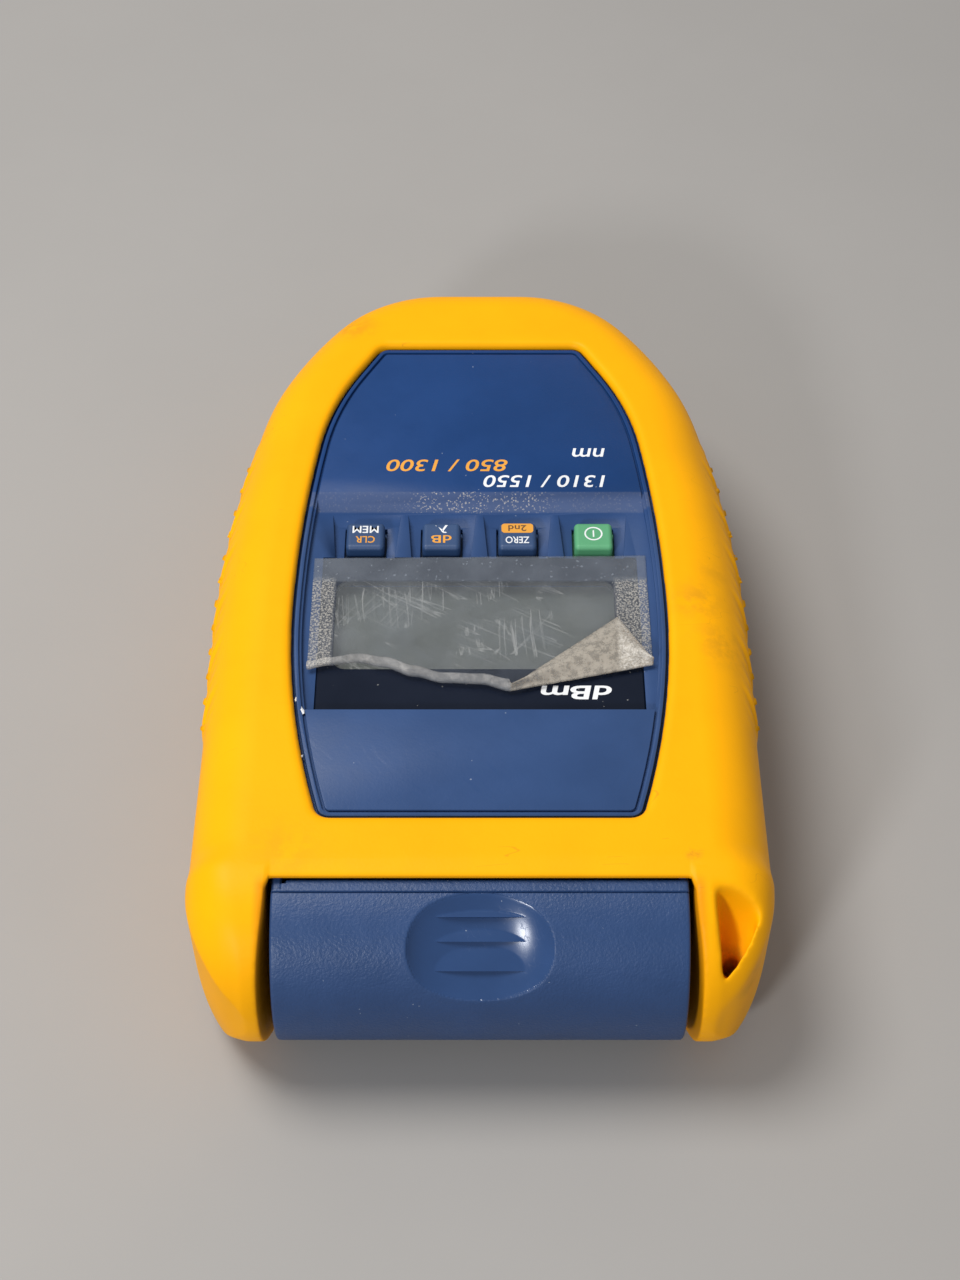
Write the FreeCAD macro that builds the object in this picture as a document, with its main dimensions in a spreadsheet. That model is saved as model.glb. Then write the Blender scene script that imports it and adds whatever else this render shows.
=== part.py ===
import FreeCAD, Part
import math
import os
import re
import Sketcher
from types import SimpleNamespace
from FreeCAD import Placement, Rotation, Vector

# Handheld optical power meter in a rubber holster, in millimetres.
# It lies on its back: +Z rises out of the display, -Y is the end with the
# optical port and its rolling cover, +X is the side with the lanyard hole.
# The origin is the middle of the footprint, on the surface it rests on.

SIZES = SimpleNamespace(
    # Overall form of the holster
    total_long=155.0,
    total_wide=92.4,
    total_tall=38.0,
    corner_radius=26.0,      # far corners, seen from above
    corner_turn=37.0,        # degrees from +X where the corner meets the shoulder
    shoulder_radius=75.0,
    shoulder_turn=10.3,      # degrees from +X where the shoulder meets the flank
    flank_radius=240.0,
    front_round=8.0,
    back_round=6.0,
    ear_corner=12.0,         # rounding of the ear tips
    # Holster walls and openings
    holster_wall=3.0,
    holster_skin=2.2,
    fit_gap=0.15,
    window_flank=285.0,
    window_flank_turn=8.1,
    window_shoulder=55.0,
    window_shoulder_turn=29.0,
    window_hip=150.0,
    window_corner=2.5,
    window_side_rim=14.2,
    window_far_rim=18.8,
    window_near_rim=26.7,
    rim_round=1.2,
    back_rim=9.0,
    back_bar=18.5,           # of the bar across the back, from the cover's axis
    # Grip ribs
    rib_count=12,
    rib_pitch=5.5,
    rib_proud=0.9,
    rib_start=40.5,          # from the far end
    rib_band=22.0,
    # Rolling cover and its bay
    cover_under=2.0,         # of the holster's front above the cover's wall
    cover_wall=1.8,
    ear_thick=13.1,
    cover_side_gap=0.9,
    bar_reach=2.5,           # of the front bar past the cover's axis
    bar_reach_back=3.5,
    cover_start=5.0,         # degrees from straight up towards the near end
    cover_sweep=152.0,
    cheek_thick=1.6,
    hub_radius=4.2,
    hub_long=2.2,
    lip_turn=17.0,
    lip_groove=0.35,
    lip_groove_turn=1.5,
    bay_gap=0.6,
    ear_skin=0.8,
    plate_thick=1.6,
    plate_radius=6.0,
    pin_radius=2.0,
    pin_play=0.05,
    washer_thick=0.6,
    washer_radius=4.4,
    recess_turn=46.0,
    recess_depth=3.0,
    recess_rise=1.0,
    recess_wide=11.67,
    recess_long=14.85,
    recess_wall=1.6,
    recess_rib_long=7.6,
    recess_rib_wide=1.5,
    recess_rib_tall=1.0,
    recess_rib_step=19.0,
    # Lanyard pocket
    pocket_in=3.7,           # from the bay to the flat side of the pocket
    pocket_reach=12.0,       # from the cover's axis to the middle of the pocket
    pocket_rise=4.0,
    pocket_wide=8.6,
    pocket_long=11.0,
    pocket_deep=13.5,
    lanyard_radius=1.5,
    lanyard_in=5.7,
    lanyard_reach=4.3,
    # Case
    case_wall=2.0,
    case_round=5.0,
    hollow_round=3.0,
    land=2.8,                # flat left on the case above the cover
    deck_rise=1.25,
    deck_gap=0.5,
    groove_inset=1.2,
    groove_wide=0.5,
    groove_deep=0.6,
    zone_far=20.4,
    zone_slope=3.0,
    zone_near=-29.0,
    zone_deep=1.5,
    # Keys
    key_wide=6.7,
    key_long=6.2,
    key_pitch=13.4,
    key_first=-20.2,
    key_y=10.0,
    key_gap=0.35,
    key_rise=1.5,            # above the key zone
    key_crown=0.8,
    key_travel=0.9,
    key_flange=1.0,
    key_flange_tall=1.0,
    key_play=0.3,
    scoop_deep=0.8,
    scoop_wide=12.2,
    scoop_far=16.2,
    scoop_near=5.9,
    scoop_taper=0.9,
    scoop_ramp=2.2,
    # Display
    lens_margin=4.65,
    lens_far=5.95,
    lens_near=-28.85,
    lens_thick=1.3,
    lens_corner=1.2,
    seat_gap=0.1,
    view_x=-0.85,
    view_y=-9.4,
    view_side=3.35,
    view_half_y=9.9,
    view_margin=1.2,
    rib_under=1.25,
    lcd_margin=3.0,
    lcd_thick=2.2,
    tray_wall=1.3,
    strip_wide=1.6,
    strip_half=20.0,
    frame_wall=2.2,
    film_thick=0.15,
    film_lift=0.02,
    film_over=1.4,
    # Boards
    board_thick=1.6,
    board_side=12.8,
    board_slim_side=18.2,
    board_far_end=33.5,
    board_stack=8.0,         # from the board's top to the inside of the shell
    board_step=-25.0,
    post_radius=2.4,
    board_screw_radius=1.05,
    board_screw_head=2.0,
    board_head_tall=1.4,
    board_screw_edge=2.8,
    board_screw_slim_edge=5.5,
    board_screw_end=6.0,
    board_screw_near_end=4.0,
    board_gap=0.3,
    board_near_gap=2.4,
    processor_half_x=6.0,
    processor_half_y=6.0,
    processor_tall=1.6,
    converter_half_x=4.0,
    converter_half_y=3.0,
    converter_tall=1.5,
    amplifier_half_x=2.5,
    amplifier_half_y=1.5,
    amplifier_tall=1.5,
    socket_half_x=5.0,
    socket_half_y=2.0,
    socket_tall=1.45,
    buzzer_radius=6.0,
    buzzer_tall=4.5,
    buzzer_side=13.4,
    buzzer_y=-2.0,
    mat_thick=1.2,
    mat_margin=5.0,
    mat_half_y=4.6,
    dome_radius=3.2,
    dome_gap=0.15,
    # Case screws
    case_screw_side_far=22.7,
    case_screw_end_far=26.5,
    case_screw_side_near=12.8,
    case_screw_end_near=8.4,
    case_screw_radius=1.4,
    case_screw_head=2.7,
    case_screw_sink=8.0,
    head_tall=2.0,
    screw_play=0.05,
    case_post=4.2,
    case_boss=3.2,
    pilot_deep=7.0,
    # Battery
    cell_side=20.75,         # from the holster's side to the end of the cell's room
    cell_end=13.0,           # from the board's far end to the middle of the cell
    cell_wide=26.5,
    cell_stud=2.1,
    cell_play=0.4,
    snap_thick=2.4,
    cell_round=2.0,
    cell_stud_step=12.7,
    cell_stud_big=3.6,
    cell_stud_small=2.9,
    room_wall=2.4,
    room_clear=0.3,
    roof_thick=0.8,
    lead_slot_half=3.0,
    door_thick=1.8,
    door_gap=0.25,
    door_lap=1.2,
    door_tab=6.0,
    door_tab_long=8.0,
    door_boss_tall=5.0,
    door_sink_deep=1.2,
    door_screw_radius=1.2,
    door_screw_short=1.0,
    pad_thick=1.0,
    # Optical port
    block_half=9.0,
    block_reach=5.5,         # of the block past the cover's axis
    block_tail=8.5,
    neck_over=2.95,          # of the neck above the underside of the main board
    neck_tail=1.5,
    block_half_z=6.5,
    neck_half=7.0,
    neck_flange=1.4,
    adapter_half=6.2,
    adapter_plate=1.2,
    barrel_radius=3.8,
    can_gap=1.0,
    barrel_long=4.8,
    sleeve_bore=1.25,
    sleeve_wall=0.35,
    sleeve_long=7.0,
    sleeve_in=0.4,
    can_radius=2.7,
    can_long=4.2,
    can_brim=3.4,
    block_wall=1.2,
    spigot_long=2.5,
    aperture_radius=1.45,
    can_brim_thick=0.6,
    leg_radius=0.25,
    leg_step=1.3,
    leg_long=2.0,
    sensor_board_thick=1.2,
    flex_half=4.0,
    flex_thick=0.2,
    flex_under=0.7,
    port_screw_x=4.6,
    port_screw_z=4.6,
    port_screw_radius=0.8,
    port_screw_head=1.4,
    port_head_tall=1.0,
    port_screw_long=4.0,
    port_pilot_spare=1.0,
)


def derive(s):
    """Sizes and places that follow from the driving ones."""
    # The holster, its window and its bay
    s.far_edge = s.total_long / 2
    s.near_edge = -s.total_long / 2
    s.half_wide = s.total_wide / 2
    s.mid_height = s.total_tall / 2
    s.ear_y = s.near_edge + s.mid_height
    s.flank_y = (s.far_edge - s.corner_radius
                 - (s.shoulder_radius - s.corner_radius) * math.sin(math.radians(s.corner_turn))
                 - (s.flank_radius - s.shoulder_radius) * math.sin(math.radians(s.shoulder_turn)))
    s.window_half = s.half_wide - s.window_side_rim
    s.window_far = s.far_edge - s.window_far_rim
    s.window_near = s.near_edge + s.window_near_rim
    s.rib_far = s.far_edge - s.rib_start
    s.rib_low = s.mid_height - s.rib_band / 2
    s.rib_high = s.mid_height + s.rib_band / 2
    # The rolling cover
    s.cover_radius = s.mid_height - s.cover_under
    s.axis_y = s.near_edge + s.cover_radius
    s.bay_radius = s.cover_radius + s.bay_gap
    s.bay_half = s.half_wide - s.ear_thick
    s.cover_half = s.bay_half - s.cover_side_gap
    s.bar_near = s.axis_y - s.bar_reach
    s.bar_near_back = s.axis_y - s.bar_reach_back
    s.back_near = s.axis_y + s.back_bar
    s.washer_in = s.bay_half - s.washer_thick - 2 * s.pin_play
    s.plate_in = s.bay_half + s.ear_skin + s.fit_gap
    s.plate_out = s.plate_in + s.plate_thick
    s.pocket_side = s.bay_half + s.pocket_in
    s.pocket_y = s.axis_y - s.pocket_reach
    s.pocket_z = s.mid_height + s.pocket_rise
    s.lanyard_x = s.half_wide - s.lanyard_in
    s.lanyard_y = s.axis_y - s.lanyard_reach
    # The case
    s.case_inset = s.holster_wall + s.fit_gap
    s.case_base = s.holster_skin + s.fit_gap
    s.case_top = s.total_tall - s.case_base
    s.case_near = s.axis_y + math.sqrt(s.bay_radius ** 2 - (s.case_top - s.mid_height) ** 2) + s.land
    s.hollow_base = s.case_base + s.case_wall
    s.hollow_top = s.case_top - s.case_wall
    s.panel_inset = s.groove_inset + s.groove_wide
    s.deck_top = s.case_top + s.deck_rise
    s.zone_top = s.deck_top - s.zone_deep
    # Keys and display
    s.key_top = s.zone_top + s.key_rise
    s.key_base = s.hollow_top - s.key_play - s.key_flange_tall
    s.lens_top = s.zone_top
    s.lens_base = s.lens_top - s.lens_thick
    s.lens_half_x = s.window_half - s.lens_margin
    s.view_half_x = s.lens_half_x - s.view_side
    s.rib_base = s.hollow_top - s.rib_under
    s.lcd_top = s.rib_base - s.seat_gap
    s.lcd_base = s.lcd_top - s.lcd_thick
    # The port block in the bay
    s.block_front = s.axis_y - s.block_reach
    s.block_back = s.axis_y + s.block_tail
    s.neck_back = s.axis_y + s.bay_radius + s.case_wall + s.neck_tail
    s.adapter_front = s.block_front - s.adapter_plate - s.barrel_long
    s.sleeve_front = s.adapter_front + s.sleeve_in
    s.sleeve_back = s.sleeve_front + s.sleeve_long
    s.can_back = s.block_front + s.spigot_long + s.can_gap + s.can_long
    s.sensor_board_front = s.can_back + s.leg_long
    # The main board and the screws
    s.board_top = s.hollow_top - s.board_stack
    s.board_base = s.board_top - s.board_thick
    s.neck_top = s.board_base + s.neck_over
    s.board_half = s.half_wide - s.board_side
    s.buzzer_x = s.board_half - s.buzzer_side
    s.board_slim_half = s.half_wide - s.board_slim_side
    s.board_far = s.far_edge - s.board_far_end
    s.board_near = s.neck_back + s.board_near_gap
    s.board_screw_x_far = s.board_half - s.board_screw_edge
    s.board_screw_x_near = s.board_slim_half - s.board_screw_slim_edge
    s.board_screw_far = s.board_far - s.board_screw_end
    s.board_screw_near = s.board_near + s.board_screw_near_end
    s.case_screw_x_far = s.half_wide - s.case_screw_side_far
    s.case_screw_y_far = s.far_edge - s.case_screw_end_far
    s.case_screw_x_near = s.half_wide - s.case_screw_side_near
    s.case_screw_y_near = s.neck_back + s.case_screw_end_near
    s.flex_height = s.board_base - s.flex_under
    # The battery and its room
    s.cell_base = s.case_base + s.door_thick + s.pad_thick
    s.room_top = s.board_base - s.board_gap - s.roof_thick
    s.cell_top = s.room_top - s.room_clear
    s.cell_thick = s.cell_top - s.cell_base
    s.cell_y = s.board_far - s.cell_end
    s.cell_half_x = s.half_wide - s.cell_side
    s.cell_long = 2 * s.cell_half_x - s.cell_stud - s.snap_thick
    s.room_half_x = s.cell_half_x + s.cell_play
    s.room_far = s.cell_y + s.cell_wide / 2 + s.cell_play
    s.room_near = s.cell_y - s.cell_wide / 2 - s.cell_play
    s.door_near = s.room_near - s.door_lap
    s.door_screw_y = s.door_near - s.door_tab_long / 2
    s.door_screw_top = s.case_base + s.door_thick + s.door_boss_tall - s.door_screw_short
    return s


S = derive(SIZES)
doc = FreeCAD.newDocument("optical_power_meter")
ALONG = {"x": Rotation(Vector(0, 1, 0), 90), "y": Rotation(Vector(1, 0, 0), -90), "z": Rotation()}
nodes = []


def fill_sheet():
    """Write every size into the document's sheet, under its own name."""
    sheet = doc.addObject("Spreadsheet::Sheet", "Sizes")
    numbers = {name: value for name, value in vars(S).items() if isinstance(value, (int, float))}
    for row, (name, value) in enumerate(numbers.items(), 1):
        sheet.set(f"A{row}", name)
        sheet.set(f"B{row}", str(value))
        sheet.setAlias(f"B{row}", name)
    doc.recompute()


def bind(thing, target, formula):
    """Tie one property to a formula that names sizes in the sheet."""
    known = vars(S)
    text = re.sub(r"[a-z_]{2,}", lambda word: "Sizes." + word[0] if word[0] in known else word[0], str(formula))
    thing.setExpression(target, text)


def mid(half, centre="0"):
    """The two ends of a span that is centred on a place."""
    return (f"{centre} - ({half})", f"{centre} + {half}")


def box(name, x, y, z):
    """A block between two formulas along each axis."""
    block = doc.addObject("Part::Box", name)
    for size, axis, (low, high) in zip(("Length", "Width", "Height"), "xyz", (x, y, z)):
        bind(block, size, f"{high} - ({low})")
        bind(block, f"Placement.Base.{axis}", low)
    return block


def rod(name, along, radius, span, across):
    """A round bar along one axis, from one formula to another."""
    bar = doc.addObject("Part::Cylinder", name)
    bar.Placement = Placement(Vector(), ALONG[along])
    bind(bar, "Radius", radius)
    bind(bar, "Height", f"{span[1]} - ({span[0]})")
    bind(bar, f"Placement.Base.{along}", span[0])
    for axis, place in zip([a for a in "xyz" if a != along], across):
        bind(bar, f"Placement.Base.{axis}", place)
    return bar


def fuse(name, *pieces):
    joined = doc.addObject("Part::MultiFuse", name)
    joined.Shapes = list(pieces)
    return joined


def cut(name, base, *tools):
    result = doc.addObject("Part::Cut", name)
    result.Base = base
    result.Tool = tools[0] if len(tools) == 1 else fuse(name + "_tools", *tools)
    return result


def common(name, first, second):
    result = doc.addObject("Part::Common", name)
    result.Base, result.Tool = first, second
    return result


def rounded(name, base, pick, radius):
    """Round the edges that pick() chooses."""
    doc.recompute()
    blend = doc.addObject("Part::Fillet", name)
    blend.Base = base
    blend.Edges = [(i, radius, radius) for i, edge in enumerate(base.Shape.Edges, 1) if pick(edge)]
    return blend


def at_height(*levels):
    """Choose edges that lie flat at one of the given heights."""
    def pick(edge):
        box_ = edge.BoundBox
        return any(abs(box_.ZMin - z) < 1e-4 and abs(box_.ZMax - z) < 1e-4 for z in levels)
    return pick


def node(thing, label, solids=1):
    """Take an object as a finished sub-part."""
    thing.Label = label
    nodes.append((thing, label, solids))
    return thing


# ---- Outlines ----------------------------------------------------------

def arc(centre, radius, start, end):
    """An arc between two directions, in degrees from the sketch's first axis."""
    low, high = sorted((math.radians(start), math.radians(end)))
    return Part.ArcOfCircle(Part.Circle(Vector(*centre, 0), Vector(0, 0, 1), radius), low, high)


def line(a, b):
    return Part.LineSegment(Vector(*a, 0), Vector(*b, 0))


def twin(edge):
    """The same edge on the other side of the middle line."""
    if isinstance(edge, Part.LineSegment):
        return line((-edge.StartPoint.x, edge.StartPoint.y), (-edge.EndPoint.x, edge.EndPoint.y))
    turns = [180 - math.degrees(a) for a in (edge.FirstParameter, edge.LastParameter)]
    return arc((-edge.Center.x, edge.Center.y), edge.Radius, *turns)


def mirrored(half):
    """A closed outline from its right half."""
    return half + [twin(edge) for edge in half]


def draw(name, edges, placement=Placement()):
    profile = doc.addObject("Sketcher::SketchObject", name)
    profile.addGeometry(edges, False)
    profile.Placement = placement
    return profile


def outline_half(s, inset=0.0):
    """Right half of the holster's outline, from the far end to the near end, set in by a margin."""
    lean_a, lean_b = math.radians(s.shoulder_turn), math.radians(s.corner_turn)
    step_a, step_b = s.flank_radius - s.shoulder_radius, s.shoulder_radius - s.corner_radius
    flank = (s.half_wide - s.flank_radius, s.flank_y)
    shoulder = (flank[0] + step_a * math.cos(lean_a), flank[1] + step_a * math.sin(lean_a))
    corner = (shoulder[0] + step_b * math.cos(lean_b), shoulder[1] + step_b * math.sin(lean_b))
    side, far, near = s.half_wide - inset, s.far_edge - inset, s.near_edge + inset
    return [
        line((0, far), (corner[0], far)),
        arc(corner, s.corner_radius - inset, 90, s.corner_turn),
        arc(shoulder, s.shoulder_radius - inset, s.corner_turn, s.shoulder_turn),
        arc(flank, s.flank_radius - inset, s.shoulder_turn, 0),
        line((side, s.flank_y), (side, near)),
        line((side, near), (0, near)),
    ]


def window_half(s, inset=0.0):
    """Right half of the display window's outline, set in by a margin."""
    flank = (s.window_half - s.window_flank, s.flank_y)
    lean_a, lean_b = math.radians(s.window_flank_turn), math.radians(s.window_shoulder_turn)
    step = s.window_flank - s.window_shoulder
    shoulder = (flank[0] + step * math.cos(lean_a), flank[1] + step * math.sin(lean_a))
    bend = s.window_shoulder - inset
    end = (shoulder[0] + bend * math.cos(lean_b), shoulder[1] + bend * math.sin(lean_b))
    far, near = s.window_far - inset, s.window_near + inset
    far_x = end[0] - (far - end[1]) * math.tan(lean_b)
    hip = (s.window_half - s.window_hip, s.flank_y)
    hip_bend = s.window_hip - inset
    drop = math.degrees(math.asin((near - s.flank_y) / hip_bend))
    near_x = hip[0] + hip_bend * math.cos(math.radians(drop))
    return [
        line((0, far), (far_x, far)),
        line((far_x, far), end),
        arc(shoulder, bend, s.window_shoulder_turn, s.window_flank_turn),
        arc(flank, s.window_flank - inset, s.window_flank_turn, 0),
        arc(hip, hip_bend, 0, drop),
        line((near_x, near), (0, near)),
    ]


def window_slab(name, inset, span):
    """A plate of the window's outline, set in by a margin, with rounded corners."""
    plate = slab(name + "_block", mirrored(window_half(S, inset)), span)
    ends = S.window_far - inset, S.window_near + inset

    def corner(edge):
        reach = edge.BoundBox
        return reach.ZLength > 0.01 and min(abs(reach.YMin - end) for end in ends) < 1e-3 and abs(reach.XMin) > 1
    return rounded(name, plate, corner, max(S.window_corner - inset, S.window_corner / 3))


def slab(name, edges, span):
    """A plate between two heights, from its outline."""
    plate = doc.addObject("Part::Extrusion", name)
    plate.Base, plate.DirMode = draw(name + "_outline", edges), "Custom"
    plate.Dir, plate.Solid = Vector(0, 0, 1), True
    bind(plate, "LengthFwd", f"{span[1]} - ({span[0]})")
    bind(plate, "Placement.Base.z", span[0])
    return plate


def body_slab(name, inset, span):
    """A plate of the holster's outline, set in by a margin."""
    return slab(name, mirrored(outline_half(S, inset)), span)


def upright(name, edges, half):
    """A profile seen from the side, carried across the width."""
    side = draw(name + "_profile", edges, Placement(Vector(), Rotation(Vector(1, 1, 1), 120)))
    plate = doc.addObject("Part::Extrusion", name)
    plate.Base, plate.DirMode, plate.Dir, plate.Solid = side, "Custom", Vector(1, 0, 0), True
    plate.Symmetric = True
    bind(plate, "LengthFwd", f"2 * ({half})")
    return plate


def loop(*points):
    """A closed outline of straight lines."""
    return [line(a, b) for a, b in zip(points, points[1:] + points[:1])]


# ---- Holster -----------------------------------------------------------

def flank_x(s, y):
    """Half width of the holster beside a place on its flank or shoulder."""
    lean = math.radians(s.shoulder_turn)
    flank_y = s.flank_y
    meet = flank_y + s.flank_radius * math.sin(lean)
    if y <= flank_y:
        return s.half_wide
    if y <= meet:
        return s.half_wide - s.flank_radius + math.sqrt(s.flank_radius ** 2 - (y - flank_y) ** 2)
    step = s.flank_radius - s.shoulder_radius
    x, z = s.half_wide - s.flank_radius + step * math.cos(lean), flank_y + step * math.sin(lean)
    return x + math.sqrt(s.shoulder_radius ** 2 - (y - z) ** 2)


def rib_edges(s, side):
    """Saw-tooth outline of the grip ribs on one side."""
    teeth = []
    for count in range(s.rib_count):
        far = s.rib_far - count * s.rib_pitch
        crest = far - 0.8 * s.rib_pitch
        teeth += [(side * flank_x(s, far), far), (side * (flank_x(s, crest) + s.rib_proud), crest)]
    last = s.rib_far - s.rib_count * s.rib_pitch
    inside = side * (flank_x(s, s.rib_far) - s.holster_wall)
    teeth += [(side * flank_x(s, last), last), (inside, last), (inside, s.rib_far)]
    return loop(*teeth)


def case_room(name, grow):
    """The space that the case takes, grown by a clearance: rounded above and below."""
    base, top = f"case_base - {grow}", f"case_top + {grow}"
    margin = getattr(S, grow, 0)
    block = body_slab(name + "_block", S.case_inset - margin, (base, top))
    blend = rounded(name + "_round", block, at_height(S.case_base - margin, S.case_top + margin), S.case_round)
    end = box(name + "_end", mid("total_wide"), ("near_edge - 1", f"case_near - {grow}"), ("-1", "total_tall + 1"))
    bay = rod(name + "_bay", "x", f"bay_radius - {grow}", mid("total_wide"), ("axis_y", "mid_height"))
    return cut(name, blend, end, bay)


def ear_plates(name, grow, span):
    """The two tongues of the case that hold the cover's pins, over a span of heights."""
    plates = []
    for side, (low, high) in (("right", ("plate_in", "plate_out")), ("left", ("-plate_out", "-plate_in"))):
        thick = (f"{low} - {grow}", f"{high} + {grow}")
        eye = rod(f"{name}_{side}_eye", "x", f"plate_radius + {grow}", thick, ("axis_y", "mid_height"))
        arm = box(f"{name}_{side}_arm", thick, ("axis_y", "axis_y + bay_radius + case_wall / 2"),
                  mid(f"plate_radius + {grow}", "mid_height"))
        tongue = fuse(f"{name}_{side}_tongue", eye, arm)
        half = box(f"{name}_{side}_half", (f"{low} - 1", f"{high} + 1"), ("near_edge", "0"), span)
        plates.append(common(f"{name}_{side}", tongue, half))
    return plates


def holster_body():
    """Solid outer form: the outline from above, met by a full round at the ears."""
    s = S
    plan = body_slab("holster_plan", 0, ("0", "total_tall"))
    far = s.far_edge + 1
    side = upright("holster_side", [
        line((s.ear_y, 0), (far, 0)), line((far, 0), (far, s.total_tall)),
        line((far, s.total_tall), (s.ear_y, s.total_tall)),
        arc((s.ear_y, s.mid_height), s.mid_height, 90, 180),
        arc((s.ear_y, s.mid_height), s.mid_height, 180, 270)], "total_wide")
    block = common("holster_block", plan, side)
    doc.recompute()
    blend = doc.addObject("Part::Fillet", "holster_round")
    blend.Base = block
    blend.Edges = holster_rounding(block.Shape, s)
    return blend


def holster_rounding(shape, s):
    """Front and back edges, with a fuller rounding at the tips of the ears."""
    edges = []
    for count, edge in enumerate(shape.Edges, 1):
        reach = edge.BoundBox
        beside_bay = abs(reach.YMin - s.ear_y) < 1e-4 and reach.YLength < 1e-4
        if at_height(s.total_tall)(edge) and not beside_bay:
            edges.append((count, s.front_round, s.front_round))
        elif at_height(0)(edge) and not beside_bay:
            edges.append((count, s.back_round, s.back_round))
        elif reach.XLength < 1e-4 and reach.YMin < s.near_edge + 1 and reach.YLength > 1:
            plain = s.front_round if reach.ZMax > s.mid_height + 1 else s.back_round
            starts_at_tip = abs(edge.valueAt(edge.FirstParameter).z - s.mid_height) < 1
            if edge.Orientation == "Reversed":
                starts_at_tip = not starts_at_tip
            edges.append((count, s.ear_corner, plain) if starts_at_tip else (count, plain, s.ear_corner))
    return edges


def holster():
    """Rubber boot: one moulded wall round the case, open over the display and at the back."""
    ribs = []
    for label, side in (("right", 1), ("left", -1)):
        ribs.append(slab(f"rib_{label}", rib_edges(S, side), ("rib_low", "rib_high")))
    body = fuse("holster_ribbed", holster_body(), *ribs)
    opening = window_slab("holster_window", 0, ("mid_height", "total_tall + 1"))
    back = body_slab("holster_back", S.back_rim, ("-1", "mid_height"))
    back_end = box("holster_back_end", mid("total_wide"), ("near_edge", "back_near"), ("-2", "total_tall"))
    bay = rod("holster_bay", "x", "bay_radius", mid("bay_half"), ("axis_y", "mid_height"))
    mouth = box("holster_mouth", mid("bay_half"), ("near_edge - 1", "bar_near"), ("-1", "total_tall + 1"))
    under = box("holster_under", mid("bay_half"), ("near_edge - 1", "bar_near_back"), ("-1", "mid_height"))
    holes = rod("holster_pin_holes", "x", "pin_radius + 2 * pin_play", mid("plate_in + plate_thick / 2"),
                ("axis_y", "mid_height"))
    pocket = lanyard_pocket()
    eye = rod("lanyard_eye", "z", "lanyard_radius", ("-1", "mid_height"), ("lanyard_x", "lanyard_y"))
    ears = cut("holster_ears", body, bay, mouth, under, holes, pocket, eye,
               *ear_plates("slot", "fit_gap", ("-1", "total_tall + 1")))
    boot = cut("holster_cut", ears, case_room("room", "fit_gap"), opening,
               cut("holster_back_opening", back, back_end))
    ears.Refine = boot.Refine = False
    near, side = S.bar_near - 1e-3, S.window_half + 1e-3

    def rim(edge):
        reach = edge.BoundBox
        inside = reach.YMin > near and reach.YMax < S.window_far + 1e-3 and max(-reach.XMin, reach.XMax) < side
        return at_height(S.total_tall)(edge) and (inside or abs(reach.YMax - S.bar_near) < 1e-3)
    return node(rounded("holster_rims", boot, rim, S.rim_round), "holster")


def lanyard_pocket():
    """Scoop in the right ear: an upright well with a round floor, flat on its inner side."""
    s = S
    bowl = doc.addObject("Part::Ellipsoid", "pocket_bowl")
    for target, formula in (("Radius1", "pocket_deep"), ("Radius2", "pocket_wide"), ("Radius3", "pocket_long"),
                            ("Placement.Base.x", "pocket_side"), ("Placement.Base.y", "pocket_y"),
                            ("Placement.Base.z", "pocket_z")):
        bind(bowl, target, formula)
    ring = Part.Ellipse(Vector(s.pocket_side, s.pocket_y, 0), s.pocket_long, s.pocket_wide)
    ring.AngleXU = math.pi / 2
    well = slab("pocket_well", [ring], ("pocket_z", "total_tall + 1"))
    half = box("pocket_half", ("pocket_side", "total_wide"), ("2 * near_edge", "0"), ("-1", "2 * total_tall"))
    return common("pocket", fuse("pocket_whole", bowl, well), half)


# ---- Case --------------------------------------------------------------

def case_shell():
    """The whole case wall, before it is split into its two halves."""
    block = case_room("case", "0")
    inner = body_slab("hollow_block", S.case_inset + S.case_wall, ("hollow_base", "hollow_top"))
    inner = rounded("hollow_round", inner, at_height(S.hollow_base, S.hollow_top), S.hollow_round)
    end = box("hollow_end", mid("total_wide"), ("near_edge - 1", "case_near + case_wall"), ("-1", "total_tall + 1"))
    bay = rod("hollow_bay", "x", "bay_radius + case_wall", mid("total_wide"), ("axis_y", "mid_height"))
    hollow = cut("hollow", inner, end, bay)
    return cut("case_shell", block, hollow)


def screw_places(kind):
    """Where the four case screws, or the four board screws, stand."""
    if kind == "case":
        return [(f"{side}case_screw_x_{row}", f"case_screw_y_{row}") for side in ("", "-") for row in ("far", "near")]
    return [(f"{side}board_screw_x_{row}", f"board_screw_{row}") for side in ("", "-") for row in ("far", "near")]


def deck():
    """Raised face that fills the holster's window, with a groove round its panel."""
    face = window_slab("deck_face", S.deck_gap, ("hollow_top", "deck_top"))
    outer = window_slab("groove_outer", S.groove_inset, ("deck_top - groove_deep", "deck_top + 1"))
    inner = window_slab("groove_inner", S.panel_inset, ("0", "total_tall"))
    return cut("deck", face, cut("deck_groove", outer, inner))


def zone_cut():
    """Lowered zone of the keys and the display, with a slope down from the far panel."""
    s = S
    side = upright("zone_side", loop((s.zone_near, s.zone_top), (s.zone_far - s.zone_slope, s.zone_top),
                                     (s.zone_far, s.deck_top), (s.zone_far, s.total_tall),
                                     (s.zone_near, s.total_tall)), "total_wide")
    return common("zone", side, window_slab("zone_plan", S.panel_inset, ("0", "total_tall + 1")))


def key_openings():
    """A sloped scoop and a well for each key."""
    tools = []
    for count in range(4):
        centre = f"key_first + {count} * key_pitch"
        tools.append(box(f"well_{count}", mid("key_wide / 2 + key_gap", centre), mid("key_long / 2 + key_gap", "key_y"),
                         ("mid_height", "total_tall")))
        tools.append(scoop(count, centre))
    return tools


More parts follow.
